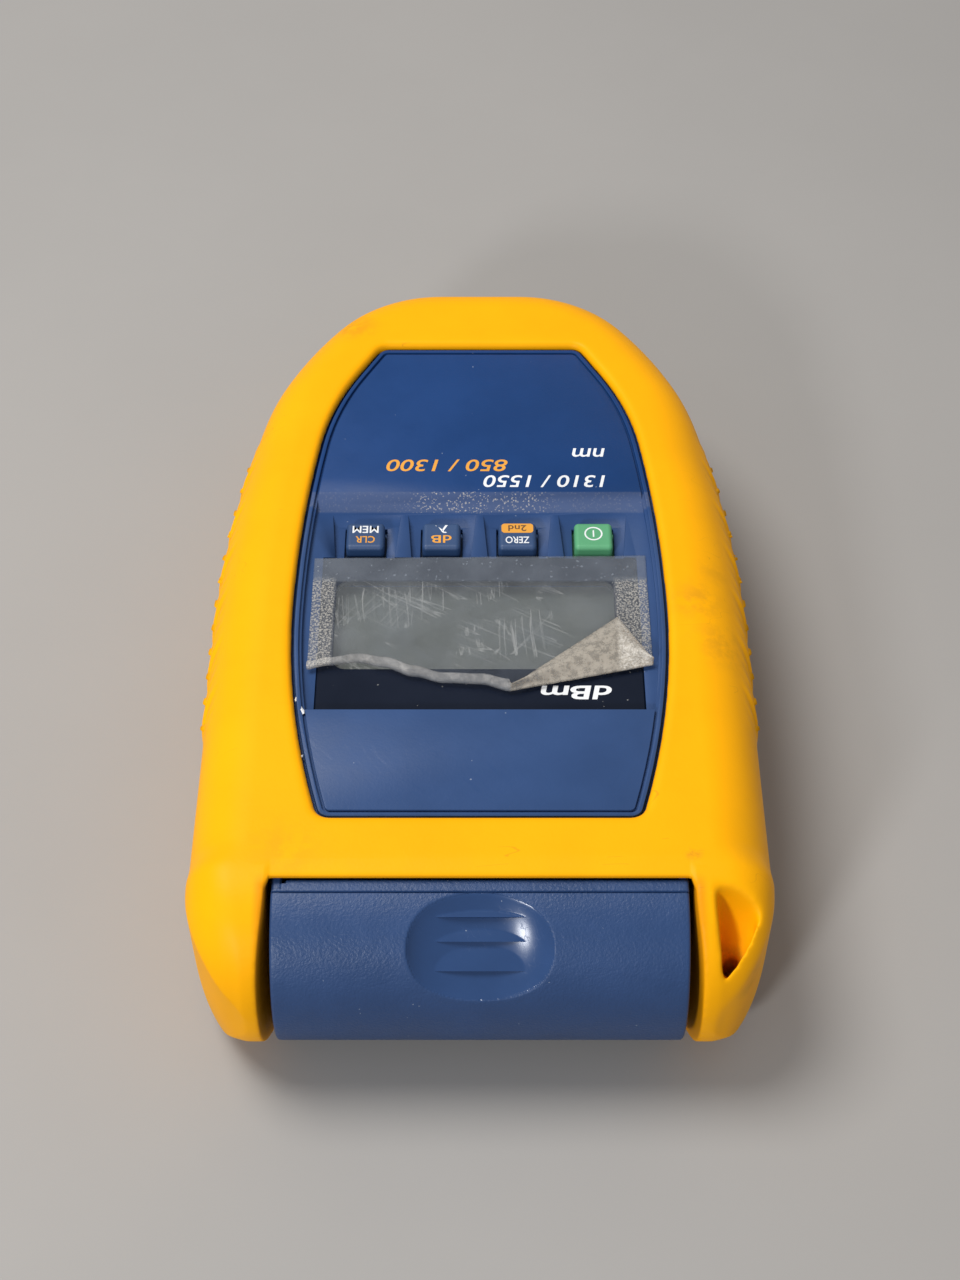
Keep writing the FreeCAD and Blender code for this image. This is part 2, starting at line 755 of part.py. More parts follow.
def scoop(count, centre):
    """Shallow hollow round a key: narrower at its near end, and ramped at its far end."""
    s = S
    x = s.key_first + count * s.key_pitch
    far_half, near_half = s.scoop_wide / 2, s.scoop_wide / 2 - s.scoop_taper
    plan = loop((x - far_half, s.scoop_far), (x + far_half, s.scoop_far),
                (x + near_half, s.scoop_near), (x - near_half, s.scoop_near))
    floor = s.zone_top - s.scoop_deep
    side = upright(f"scoop_{count}_side", loop((s.scoop_near, floor), (s.scoop_far - s.scoop_ramp, floor),
                                               (s.scoop_far, s.zone_top), (s.scoop_far, s.total_tall),
                                               (s.scoop_near, s.total_tall)), "total_wide")
    return common(f"scoop_{count}", side, slab(f"scoop_{count}_plan", plan, ("0", "total_tall + 1")))


def posts(name, kind, radius, span):
    """Four round bars where the case screws or the board screws stand."""
    return [rod(f"{name}_{count}", "z", radius, span, place) for count, place in enumerate(screw_places(kind))]


def front_shell(shell):
    """Upper half of the case: its deck, key wells, lens seat, posts and pin tongues."""
    upper = common("front_wall", shell, box("front_half", mid("total_wide"), mid("total_long"),
                                            ("mid_height", "total_tall")))
    frame = box("view_frame", mid("view_half_x + view_margin + frame_wall", "view_x"),
                mid("view_half_y + view_margin + frame_wall", "view_y"), ("rib_base", "hollow_top + case_wall / 2"))
    body = fuse("front_body", upper, deck(), frame,
                *posts("board_post", "board", "post_radius", ("board_top", "hollow_top + case_wall / 2")),
                *posts("case_boss", "case", "case_boss", ("mid_height", "hollow_top + case_wall / 2")),
                *ear_plates("front_plate", "0", ("mid_height", "total_tall")))
    seat = box("lens_seat", mid("lens_half_x + seat_gap"), ("lens_near - seat_gap", "lens_far + seat_gap"),
               ("lens_base", "total_tall"))
    view = box("view_opening", mid("view_half_x + view_margin", "view_x"),
               mid("view_half_y + view_margin", "view_y"), ("mid_height", "total_tall"))
    neck = box("neck_opening", mid("neck_half + seat_gap"), ("axis_y", "neck_back"),
               ("mid_height", "neck_top + seat_gap"))
    seats = rod("front_pin_seats", "x", "pin_radius", mid("plate_out + 1"), ("axis_y", "mid_height"))
    shell_half = cut("front_cut", body, zone_cut(), seat, view, neck, seats, *key_openings(),
                     *posts("board_pilot", "board", "board_screw_radius + screw_play",
                            ("board_base", "board_top + pilot_deep")),
                     *posts("case_pilot", "case", "case_screw_radius + screw_play",
                            ("case_base", "mid_height + pilot_deep + 2")))
    return node(shell_half, "front_shell")


# ---- Back of the case --------------------------------------------------

def back_shell(shell):
    """Lower half of the case, with the battery room and the screw posts."""
    lower = common("back_wall", shell, box("back_half", mid("total_wide"), mid("total_long"), ("0", "mid_height")))
    room_walls = box("battery_walls", mid("room_half_x + room_wall"), ("room_near - room_wall", "room_far + room_wall"),
                     ("case_base + door_thick", "room_top + roof_thick"))
    boss = box("door_boss", mid("door_tab + door_gap + door_lap"),
               ("door_near - door_tab_long - door_gap - door_lap", "door_near"),
               ("case_base + door_thick", "case_base + door_thick + door_boss_tall"))
    body = fuse("back_body", lower, room_walls, boss,
                *posts("case_post", "case", "case_post", ("case_base + case_wall / 2", "mid_height")),
                *ear_plates("back_plate", "0", ("0", "mid_height")))
    inside = box("battery_room", mid("room_half_x"), ("room_near", "room_far"), ("-1", "room_top"))
    seats = rod("back_pin_seats", "x", "pin_radius", mid("plate_out + 1"), ("axis_y", "mid_height"))
    lead = box("lead_slot", ("room_half_x - 1", "room_half_x + room_wall + 1"), mid("lead_slot_half", "cell_y"),
               ("room_top - 3", "room_top"))
    pilot = rod("door_pilot", "z", "door_screw_radius + screw_play", ("case_base", "door_screw_top + 0.5"),
                ("0", "door_screw_y"))
    shell_half = cut("back_cut", body, inside, *door_outline("door_opening", "door_gap", ("-1", "case_base + door_thick")),
                     seats, lead, pilot,
                     *posts("case_sink", "case", "case_screw_head + 0.2", ("-1", "case_screw_sink + head_tall")),
                     *posts("case_hole", "case", "case_screw_radius + screw_play", ("0", "mid_height + 1")))
    return node(shell_half, "back_shell")


def door_outline(name, grow, span):
    """The battery door's plate and its screw tab, grown by a clearance."""
    return [box(name + "_plate", mid(f"room_half_x + door_lap + {grow}"),
                (f"door_near - {grow}", f"room_far + door_lap + {grow}"), span),
            box(name + "_tab", mid(f"door_tab + {grow}"), (f"door_near - door_tab_long - {grow}", "door_near + 1"), span)]


def battery():
    """The door with its screw and foam pad, the cell and its snap connector."""
    plate = fuse("door_body", *door_outline("door", "0", ("case_base", "case_base + door_thick")))
    sink = rod("door_sink", "z", "case_screw_head + 0.1", ("-1", "case_base + door_sink_deep"), ("0", "door_screw_y"))
    hole = rod("door_hole", "z", "door_screw_radius + screw_play", ("-1", "mid_height"), ("0", "door_screw_y"))
    node(cut("door_cut", plate, sink, hole), "battery_door")
    head = rod("door_screw_top", "z", "case_screw_head", ("case_base + 0.1", "case_base + door_sink_deep"),
               ("0", "door_screw_y"))
    shank = rod("door_screw_shank", "z", "door_screw_radius", ("case_base + 0.2", "door_screw_top"),
                ("0", "door_screw_y"))
    node(fuse("door_screw_body", head, shank), "door_screw")
    node(box("pad_body", mid("cell_half_x - 2"), mid("cell_wide / 2 - 1", "cell_y"),
             ("case_base + door_thick", "cell_base")), "battery_pad")
    can = box("cell_can", ("-cell_half_x", "cell_long - cell_half_x"), mid("cell_wide / 2", "cell_y"),
              ("cell_base", "cell_top"))
    can = rounded("cell_round", can, lambda edge: edge.BoundBox.XLength > 1, S.cell_round)
    studs = [rod(f"cell_stud_{row}", "x", radius, ("cell_long - cell_half_x - 1", "cell_long + cell_stud - cell_half_x"),
                 (f"cell_y {row} cell_stud_step / 2", "cell_base + cell_thick / 2"))
             for row, radius in (("+", "cell_stud_big"), ("-", "cell_stud_small"))]
    node(fuse("cell_body", can, *studs), "battery_cell")
    node(box("snap_body", ("cell_half_x - snap_thick", "cell_half_x"), mid("cell_wide / 2 - 0.5", "cell_y"),
             mid("cell_thick / 2 - 2", "cell_base + cell_thick / 2")), "battery_snap")


def case_screws():
    """Four screws up through the back shell into the front shell's bosses."""
    heads = posts("case_head", "case", "case_screw_head", ("case_screw_sink", "case_screw_sink + head_tall"))
    shanks = posts("case_shank", "case", "case_screw_radius", ("case_screw_sink", "mid_height + pilot_deep"))
    node(grouped("case_screw_set", heads, shanks), "case_screws", 4)


def grouped(name, *layers):
    """Separate solids in one sub-part, each fused from one piece of every layer."""
    group = doc.addObject("Part::Compound", name)
    group.Links = [fuse(f"{name}_{count}", *pieces) for count, pieces in enumerate(zip(*layers))]
    return group


# ---- Boards, display and keys ------------------------------------------

def boards():
    """Main board with its screws and the parts soldered on it."""
    wide = box("board_wide", mid("board_half"), ("board_step", "board_far"), ("board_base", "board_top"))
    slim = box("board_slim", mid("board_slim_half"), ("board_near", "board_step + 1"), ("board_base", "board_top"))
    node(cut("board_cut", fuse("board_body", wide, slim),
             *posts("board_hole", "board", "board_screw_radius + screw_play", ("board_base - 1", "board_top + 1"))),
         "main_board")
    heads = posts("board_head", "board", "board_screw_head", ("board_base - board_head_tall", "board_base"))
    shanks = posts("board_shank", "board", "board_screw_radius",
                   ("board_base - board_head_tall", "board_top + pilot_deep - 1"))
    node(grouped("board_screw_set", heads, shanks), "board_screws", 4)
    for label, name, x, y in (("processor_chip", "processor", "-processor_half_x * 2", "-processor_half_y"),
                              ("converter_chip", "converter", "converter_half_x * 3", "view_y - converter_half_y * 1.5"),
                              ("amplifier_chip", "amplifier", "amplifier_half_x * 2", "board_near + board_screw_end"),
                              ("flex_socket", "socket", "0", "board_near + socket_half_y")):
        node(box(label + "_body", mid(f"{name}_half_x", x), mid(f"{name}_half_y", y),
                 (f"board_base - {name}_tall", "board_base")), label)
    node(rod("buzzer_body", "z", "buzzer_radius", ("board_base - buzzer_tall", "board_base"),
             ("buzzer_x", "buzzer_y")), "buzzer")


def display():
    """Lens, display glass, its tray and the two contact strips."""
    lens = doc.addObject("PartDesign::Body", "lens_body")
    pad = padded(lens, "lens", "2 * lens_half_x", "lens_far - lens_near", "lens_thick")
    doc.recompute()
    corners = lens.newObject("PartDesign::Fillet", "lens_corners")
    corners.Base = (pad, [f"Edge{i}" for i, e in enumerate(pad.Shape.Edges, 1) if e.BoundBox.ZLength > 0.5])
    bind(corners, "Radius", "lens_corner")
    place(lens, "0", "(lens_far + lens_near) / 2", "lens_base")
    node(lens, "display_lens")
    half_x, half_y = "view_half_x + lcd_margin", "view_half_y + lcd_margin"
    node(box("lcd_body", mid(half_x, "view_x"), mid(half_y, "view_y"), ("lcd_base", "lcd_top")), "lcd_panel")
    tray = box("tray_body", mid(f"{half_x} + seat_gap + tray_wall", "view_x"),
               mid(f"{half_y} + seat_gap + tray_wall", "view_y"), ("board_top", "lcd_top - lcd_thick / 2"))
    seat = box("tray_seat", mid(f"{half_x} + seat_gap", "view_x"), mid(f"{half_y} + seat_gap", "view_y"),
               ("lcd_base", "total_tall"))
    well = box("tray_well", mid("strip_half + seat_gap", "view_x"), mid(f"{half_y} - seat_gap", "view_y"),
               ("0", "total_tall"))
    node(cut("tray_cut", tray, seat, well), "lcd_frame")
    reach = f"{half_y} - 2 * seat_gap"
    for label, ends in (("contact_strip_far", (f"view_y + {reach} - strip_wide", f"view_y + {reach}")),
                        ("contact_strip_near", (f"view_y - ({reach})", f"view_y - ({reach}) + strip_wide"))):
        node(box(label + "_body", mid("strip_half", "view_x"), ends, ("board_top", "lcd_base")), label)


def screen_film():
    """Protective film, peeled along its near edge, with one corner folded back on top."""
    s = S
    half = s.lens_half_x + s.film_over
    long = s.lens_far - s.lens_near
    right, left = (half - 0.8, s.lens_far - 0.70 * long), (0.4 - half, s.lens_far - 0.73 * long)
    dip, tip = (0.18 * half, s.lens_far - 0.87 * long), (0.81 * half, s.lens_far - 0.44 * long)
    wave = Part.BSplineCurve()
    wave.interpolate([Vector(x, y, 0) for x, y in (
        dip, (-0.2 * half, s.lens_far - 0.82 * long), (-0.66 * half, s.lens_far - 0.71 * long), left)])
    sheet = [line(left, (-half, s.lens_far)), line((-half, s.lens_far), (half, s.lens_far)),
             line((half, s.lens_far), right), line(right, dip), wave]
    flat = slab("film_flat", sheet, ("lens_top + film_lift", "lens_top + film_lift + film_thick"))
    fold = slab("film_fold", loop(right, dip, tip),
                ("lens_top + film_lift + film_thick / 2", "lens_top + film_lift + 2 * film_thick"))
    node(fuse("film_body", flat, fold), "screen_film")


def padded(body, name, wide, long, tall):
    """A rectangular pad, centred on the body's origin, with its three sizes bound."""
    sketch = body.newObject("Sketcher::SketchObject", name + "_sketch")
    sketch.AttachmentSupport = (origin_plane(body, "XY_Plane"), [""])
    sketch.MapMode = "FlatFace"
    corners = [(-2, -1), (2, -1), (2, 1), (-2, 1)]
    sketch.addGeometry(loop(*corners), False)
    for side in range(4):
        sketch.addConstraint(Sketcher.Constraint("Coincident", side, 2, (side + 1) % 4, 1))
        sketch.addConstraint(Sketcher.Constraint("Vertical" if side % 2 else "Horizontal", side))
    sketch.addConstraint(Sketcher.Constraint("Symmetric", 0, 1, 1, 2, -1, 1))
    for target, side, formula in (("DistanceX", 0, wide), ("DistanceY", 1, long)):
        number = sketch.addConstraint(Sketcher.Constraint(target, side, 1, side, 2, 2.0))
        bind(sketch, f"Constraints[{number}]", formula)
    pad = body.newObject("PartDesign::Pad", name + "_pad")
    pad.Profile = sketch
    bind(pad, "Length", tall)
    return pad


def origin_plane(body, role):
    return next(plane for plane in body.Origin.OriginFeatures if plane.Role == role)


def place(body, x, y, z):
    for axis, formula in zip("xyz", (x, y, z)):
        bind(body, f"Placement.Base.{axis}", formula)


def key(label, count):
    """A moulded key: a cap with a rounded crown over a flange that holds it in the shell."""
    body = doc.addObject("PartDesign::Body", label + "_body")
    cap = padded(body, label + "_cap", "key_wide", "key_long", "key_top - key_base")
    doc.recompute()
    crown = body.newObject("PartDesign::Fillet", label + "_crown")
    top = S.key_top - S.key_base
    crown.Base = (cap, [f"Edge{i}" for i, e in enumerate(cap.Shape.Edges, 1) if e.BoundBox.ZMax > top - 1e-6])
    bind(crown, "Radius", "key_crown")
    padded(body, label + "_flange", "key_wide + 2 * key_flange", "key_long + 2 * key_flange", "key_flange_tall")
    place(body, f"key_first + {count} * key_pitch", "key_y", "key_base")
    node(body, label)


def keypad_mat():
    """Rubber mat on the board, with a dome under each key."""
    sheet = box("mat_sheet", ("key_first - mat_margin", "key_first + 3 * key_pitch + mat_margin"),
                mid("mat_half_y", "key_y"), ("board_top", "board_top + mat_thick"))
    domes = []
    for count in range(4):
        dome = doc.addObject("Part::Cone", f"dome_{count}")
        for target, formula in (("Radius1", "dome_radius"), ("Radius2", "dome_radius * 0.7"),
                                ("Height", "key_base - key_travel - dome_gap - board_top - mat_thick / 2"),
                                ("Placement.Base.x", f"key_first + {count} * key_pitch"),
                                ("Placement.Base.y", "key_y"), ("Placement.Base.z", "board_top + mat_thick / 2")):
            bind(dome, target, formula)
        domes.append(dome)
    node(fuse("mat_body", sheet, *domes), "keypad_mat")


# ---- Optical port ------------------------------------------------------

def optical_port():
    """The block in the bay, and the adapter, sleeve and detector in line along Y."""
    ring = ("0", "mid_height")
    block = box("port_box", mid("block_half"), ("block_front", "block_back"), mid("block_half_z", "mid_height"))
    neck = box("port_neck", mid("neck_half"), ("block_back - 1", "neck_back"), ("mid_height", "neck_top"))
    flange = box("port_flange", mid("neck_half + neck_flange"), ("neck_back - neck_flange", "neck_back"),
                 ("mid_height", "neck_top + neck_flange"))
    bore = rod("port_bore", "y", "can_brim + screw_play", ("block_front - 1", "can_back"), ring)
    pocket = box("port_pocket", mid("block_half - block_wall"), ("can_back", "block_back"),
                 mid("block_half_z - block_wall", "mid_height"))
    channel = box("port_channel", mid("neck_half - block_wall"), ("block_back - 2", "neck_back + 1"),
                  ("mid_height + block_wall", "neck_top - block_wall"))
    pilots = [rod(f"port_pilot_{side}", "y", "port_screw_radius + screw_play", ("block_front - 1", "block_front + port_screw_long + port_pilot_spare"),
                  (f"{side}port_screw_x", f"mid_height {row} port_screw_z")) for side, row in (("", "+"), ("-", "-"))]
    node(cut("port_cut", fuse("port_body", block, neck, flange), bore, pocket, channel, *pilots), "port_block")

    plate = box("adapter_plate", mid("adapter_half"), ("block_front - adapter_plate", "block_front"),
                mid("adapter_half", "mid_height"))
    barrel = rod("adapter_barrel", "y", "barrel_radius", ("adapter_front", "block_front"), ring)
    spigot = rod("adapter_spigot", "y", "can_brim", ("block_front - 0.5", "block_front + spigot_long"), ring)
    hole = rod("adapter_hole", "y", "sleeve_bore + sleeve_wall + screw_play", ("adapter_front - 1", "sleeve_back"), ring)
    mouth = rod("adapter_back_hole", "y", "aperture_radius", ("adapter_front", "block_front + spigot_long + 1"), ring)
    screw_holes = [rod(f"adapter_hole_{side}", "y", "port_screw_radius + screw_play",
                       ("block_front - adapter_plate - 1", "block_front + 1"),
                       (f"{side}port_screw_x", f"mid_height {row} port_screw_z"))
                   for side, row in (("", "+"), ("-", "-"))]
    node(cut("adapter_cut", fuse("adapter_body", plate, barrel, spigot), hole, mouth, *screw_holes), "port_adapter")
    tube = rod("sleeve_tube", "y", "sleeve_bore + sleeve_wall", ("sleeve_front", "sleeve_back"), ring)
    node(cut("sleeve_cut", tube, rod("sleeve_hole", "y", "sleeve_bore", ("adapter_front - 1", "sleeve_back + 1"), ring)),
         "ferrule_sleeve")
    spots = [("right", "", "+"), ("left", "-", "-")]
    heads = [rod(f"port_head_{label}", "y", "port_screw_head",
                 ("block_front - adapter_plate - port_head_tall", "block_front - adapter_plate"),
                 (f"{side}port_screw_x", f"mid_height {row} port_screw_z")) for label, side, row in spots]
    shanks = [rod(f"port_shank_{label}", "y", "port_screw_radius",
                  ("block_front - adapter_plate - port_head_tall / 2", "block_front + port_screw_long"),
                  (f"{side}port_screw_x", f"mid_height {row} port_screw_z")) for label, side, row in spots]
    node(grouped("port_screw_set", heads, shanks), "adapter_screws", 2)

    can = rod("detector_can", "y", "can_radius", ("can_back - can_long", "can_back"), ring)
    brim = rod("detector_brim", "y", "can_brim", ("can_back - can_brim_thick", "can_back"), ring)
    legs = [rod(f"detector_leg_{side}", "y", "leg_radius", ("can_back - 0.5", "sensor_board_front"),
                (f"{side}leg_step", "mid_height")) for side in ("", "-")]
    node(fuse("detector_body", can, brim, *legs), "detector")
    node(box("sensor_board", mid("block_half - block_wall - seat_gap"),
             ("sensor_board_front", "sensor_board_front + sensor_board_thick"),
             mid("block_half_z - block_wall - seat_gap", "mid_height")), "detector_board")
    node(box("flex_body", mid("flex_half"), ("sensor_board_front + sensor_board_thick", "board_near"),
             ("flex_height", "flex_height + flex_thick")), "detector_flex")


# ---- Rolling cover -----------------------------------------------------

def cover_point(radius, turn):
    """A place on the cover, from its axis: degrees run from straight up to the near end."""
    return S.axis_y - radius * math.sin(math.radians(turn)), S.mid_height + radius * math.cos(math.radians(turn))


def port_cover():
    """Rolling cover: a curved wall between two cheeks, with hubs, a lip and a thumb recess."""
    s = S
    start, end = s.cover_start, s.cover_start + s.cover_sweep
    inner = s.cover_radius - s.cover_wall

    def ring_edges(low, high, first, last):
        a0, a1 = 90 + first, 90 + last
        centre = (s.axis_y, s.mid_height)
        at = lambda r, a: (centre[0] + r * math.cos(math.radians(a)), centre[1] + r * math.sin(math.radians(a)))
        return [arc(centre, high, a0, a1), line(at(high, a1), at(low, a1)), arc(centre, low, a0, a1),
                line(at(low, a0), at(high, a0))]

    wall = upright("cover_wall_body", ring_edges(inner, s.cover_radius, start, end), "cover_half")
    groove = upright("cover_groove", ring_edges(s.cover_radius - s.lip_groove, s.cover_radius + 1,
                                                s.lip_turn, s.lip_turn + s.lip_groove_turn), "cover_half + 1")
    axis = ("axis_y", "mid_height")
    pieces = [wall]
    for side, sign in (("right", ""), ("left", "-")):
        ends = ("cover_half - cheek_thick", "cover_half") if sign == "" else ("-cover_half", "cheek_thick - cover_half")
        deep = ("cover_half - cheek_thick - hub_long", "cover_half") if sign == "" \
            else ("-cover_half", "cheek_thick + hub_long - cover_half")
        pieces.append(rod(f"cheek_{side}", "x", "cover_radius - lip_groove", ends, axis))
        pieces.append(rod(f"hub_{side}", "x", "hub_radius", deep, axis))
    bulge = recess("recess_back", "recess_wall")
    limit = rod("recess_limit", "x", "cover_radius - cover_wall / 2", mid("cover_half"), axis)
    pieces.append(common("recess_bulge", bulge, limit))
    bore = rod("cover_bore", "x", "pin_radius + pin_play", mid("cover_half + 1"), axis)
    body = cut("cover_cut", fuse("cover_body", *pieces), groove, bore, recess("recess_front", "0"))
    ribs = [recess_rib(count) for count in (-1, 0, 1)]
    node(fuse("cover_ribbed", body, *ribs), "port_cover")


def recess(name, grow):
    """The ellipsoid that hollows the thumb recess, lying on the cover's surface."""
    s = S
    bowl = doc.addObject("Part::Ellipsoid", name)
    y, z = cover_point(s.cover_radius + s.recess_rise, s.recess_turn)
    bowl.Placement = Placement(Vector(0, y, z), Rotation(Vector(1, 0, 0), s.recess_turn))
    bind(bowl, "Radius1", f"recess_depth + recess_rise + {grow}")
    bind(bowl, "Radius2", f"recess_wide + {grow}")
    bind(bowl, "Radius3", f"recess_long + {grow}")
    return bowl


def recess_rib(count):
    """One of three low ribs across the floor of the recess."""
    s = S
    rib = doc.addObject("Part::Ellipsoid", f"recess_rib_{count + 1}")
    turn = s.recess_turn + count * s.recess_rib_step
    y, z = cover_point(s.cover_radius - s.recess_depth - 0.2, turn)
    rib.Placement = Placement(Vector(0, y, z), Rotation(Vector(1, 0, 0), turn))
    bind(rib, "Radius1", "recess_rib_tall")
    bind(rib, "Radius2", "recess_rib_long")
    bind(rib, "Radius3", "recess_rib_wide")
    return rib


def pivots():
    """Two steel pins in the case tongues, and the washers beside the cover."""
    axis = ("axis_y", "mid_height")
    reach = "cover_half - cheek_thick - hub_long / 2"
    node(rod("right_pin_body", "x", "pin_radius", (reach, "plate_out"), axis), "right_pivot_pin")
    node(rod("left_pin_body", "x", "pin_radius", ("-plate_out", f"-({reach})"), axis), "left_pivot_pin")
    rings = []
    for side, ends in (("right", ("washer_in", "washer_in + washer_thick")),
                       ("left", ("-washer_in - washer_thick", "-washer_in"))):
        disc = rod(f"washer_{side}_disc", "x", "washer_radius", ends, axis)
        hole = rod(f"washer_{side}_hole", "x", "pin_radius + 2 * pin_play", mid("bay_half + 1"), axis)
        rings.append(cut(f"washer_{side}", disc, hole))
    group = doc.addObject("Part::Compound", "washer_set")
    group.Links = rings
    node(group, "pivot_washers", 2)


# ---- Build, check and write --------------------------------------------

def faults():
    """Everything in the document that failed, and every sub-part that is not as it should be."""
    found = []
    for thing in doc.Objects:
        if "Invalid" in thing.State or "Error" in thing.State:
            found.append(f"{thing.Name}: {thing.State}")
    for thing, label, solids in nodes:
        shape = thing.Shape
        if shape.isNull() or not shape.isValid() or len(shape.Solids) != solids:
            found.append(f"{label}: {'null' if shape.isNull() else len(shape.Solids)} solids")
    return found


fill_sheet()
holster()
shell = case_shell()
front_shell(shell)
back_shell(shell)
battery()
case_screws()
boards()
display()
screen_film()
keypad_mat()
for count, label in enumerate(("memory_key", "wavelength_key", "reference_key", "power_key")):
    key(label, count)
optical_port()
port_cover()
pivots()
doc.recompute()

problems = faults()
if problems:
    raise RuntimeError("\n".join(problems))
os.makedirs("parts", exist_ok=True)
for thing, label, solids in nodes:
    thing.Shape.exportStep(f"parts/{label}.step")
print(len(nodes), "sub-parts written")
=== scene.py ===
import math
from functools import partial, reduce
import bmesh
import bpy
import numpy as np
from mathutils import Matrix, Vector, noise


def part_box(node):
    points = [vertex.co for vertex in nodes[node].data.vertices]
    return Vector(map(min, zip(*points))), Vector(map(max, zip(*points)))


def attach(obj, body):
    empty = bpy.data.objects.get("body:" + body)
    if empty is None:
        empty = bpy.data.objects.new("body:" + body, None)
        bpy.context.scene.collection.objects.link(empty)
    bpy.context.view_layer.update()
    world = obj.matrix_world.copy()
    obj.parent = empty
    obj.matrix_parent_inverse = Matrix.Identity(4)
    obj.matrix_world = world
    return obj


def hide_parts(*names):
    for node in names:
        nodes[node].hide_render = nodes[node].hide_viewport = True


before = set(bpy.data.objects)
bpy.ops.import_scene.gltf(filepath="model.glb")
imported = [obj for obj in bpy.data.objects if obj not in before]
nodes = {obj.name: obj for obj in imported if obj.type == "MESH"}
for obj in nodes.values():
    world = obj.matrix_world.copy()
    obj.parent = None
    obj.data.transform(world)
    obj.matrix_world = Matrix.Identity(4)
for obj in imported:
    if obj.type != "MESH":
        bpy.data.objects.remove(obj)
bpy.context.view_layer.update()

# ---- Back half of the case ---------------------------------------------
# A shallow moulded tray of blue ABS that carries the battery room and the
# posts of the four case screws. Its outside is finely spark-textured.


def put(tree, kind, wires=None, **traits):
    """A node with its traits set, and each input given a value or a wire."""
    made = tree.nodes.new(kind)
    for trait, value in traits.items():
        setattr(made, trait, value)
    for socket, value in (wires or {}).items():
        if isinstance(value, bpy.types.NodeSocket):
            tree.links.new(value, made.inputs[socket])
        else:
            made.inputs[socket].default_value = value
    return made


def sums(operation, *values, clamp=False):
    """One step of arithmetic between numbers and wires, in the tree that the wires run in."""
    tree = next(value.id_data for value in values if isinstance(value, bpy.types.NodeSocket))
    made = put(tree, "ShaderNodeMath", dict(enumerate(values)), operation=operation, use_clamp=clamp)
    return made.outputs[0]


plus, minus, times, most, size_of = (
    partial(sums, operation) for operation in ("ADD", "SUBTRACT", "MULTIPLY", "MAXIMUM", "ABSOLUTE"))


def ramp(value, low, high):
    """0 below one level of a wire and 1 above another."""
    return put(value.id_data, "ShaderNodeMapRange", {"Value": value, "From Min": low, "From Max": high},
               interpolation_type="SMOOTHSTEP").outputs["Result"]


def places(tree):
    """The place of each point of the object's surface."""
    return put(tree, "ShaderNodeTexCoord").outputs["Object"]


def noisy(tree, scale, detail, rough=0.5):
    """Noise from 0 to 1 over the object."""
    return put(tree, "ShaderNodeTexNoise",
               {"Vector": places(tree), "Scale": scale, "Detail": detail, "Roughness": rough}).outputs["Fac"]


def new_effect(name, takes, gives):
    """An empty shader group with named inputs and outputs."""
    effect = bpy.data.node_groups.new(name, "ShaderNodeTree")
    for label, kind, value in takes:
        effect.interface.new_socket(label, in_out="INPUT", socket_type=kind).default_value = value
    for label, kind in gives:
        effect.interface.new_socket(label, in_out="OUTPUT", socket_type=kind)
    return effect, effect.nodes.new("NodeGroupInput").outputs, effect.nodes.new("NodeGroupOutput").inputs


def use(tree, effect, **values):
    """An effect placed in a material, its inputs named in plain words."""
    wires = {label.replace("_", " ").capitalize(): value for label, value in values.items()}
    return put(tree, "ShaderNodeGroup", wires, node_tree=effect).outputs


NUMBER, COLOUR = "NodeSocketFloat", "NodeSocketColor"

# Spark texture of the mould: close, shallow pits and the broader lumps under them
spark, taken, given = new_effect("mould_spark", [("Scale", NUMBER, 2500.0)], [("Height", NUMBER)])
pits = times(noisy(spark, taken["Scale"], 2.0, 0.6), 0.65)
lumps = times(noisy(spark, times(taken["Scale"], 0.37), 1.0), 0.35)
spark.links.new(plus(pits, lumps), given["Height"])

# Cloudy tone: slow drifts of lighter and darker colour, and the sheen that goes with them
cloud, taken, given = new_effect(
    "cloudy_tone",
    [("Colour", COLOUR, (0.5, 0.5, 0.5, 1)), ("Amount", NUMBER, 0.1), ("Scale", NUMBER, 60.0)],
    [("Colour", COLOUR), ("Mask", NUMBER)])
level = ramp(noisy(cloud, taken["Scale"], 5.0, 0.6), 0.3, 0.7)
gain = plus(1.0, times(minus(level, 0.5), taken["Amount"]))
shade = put(cloud, "ShaderNodeVectorMath", {0: taken["Colour"], "Scale": gain}, operation="SCALE")
cloud.links.new(shade.outputs["Vector"], given["Colour"])
cloud.links.new(level, given["Mask"])


def new_finish(name, **settings):
    """A material of one Principled shader, with its plain numbers on the shader's own sockets."""
    finish = bpy.data.materials.new(name)
    finish.use_nodes = True
    shader = finish.node_tree.nodes["Principled BSDF"]
    for socket, value in settings.items():
        shader.inputs[socket.replace("_", " ")].default_value = value
    return finish, finish.node_tree, shader


def feed(shader, **wires):
    """Runs wires into a shader's inputs."""
    for label, wire in wires.items():
        shader.id_data.links.new(wire, shader.inputs[label.replace("_", " ")])


def bump(shader, height, strength, depth):
    """Relief on a shader: its height in a wire, its strength and depth plain numbers."""
    wires = {"Height": height, "Strength": strength, "Distance": depth}
    relief = put(shader.id_data, "ShaderNodeBump", wires)
    feed(shader, Normal=relief.outputs["Normal"])


def moulded(name, colour, rough, grain, relief):
    """Moulded plastic or rubber: cloudy tone over its colour, and the grain of the mould."""
    finish, tree, shader = new_finish(name, Roughness=rough)
    tone = use(tree, cloud, colour=(*colour, 1), amount=0.12, scale=70.0)
    feed(shader, Base_Color=tone["Colour"], Roughness=plus(rough - 0.05, times(tone["Mask"], 0.1)))
    bump(shader, use(tree, spark, scale=grain)["Height"], relief, 0.0001)
    return finish, tree, shader


def wear(piece, finish):
    """Gives a whole piece one finish."""
    piece.data.materials.clear()
    piece.data.materials.append(finish)


blue_case = moulded("blue_case", (0.014, 0.040, 0.130), 0.42, 2600.0, 0.35)[0]
wear(nodes["back_shell"], blue_case)

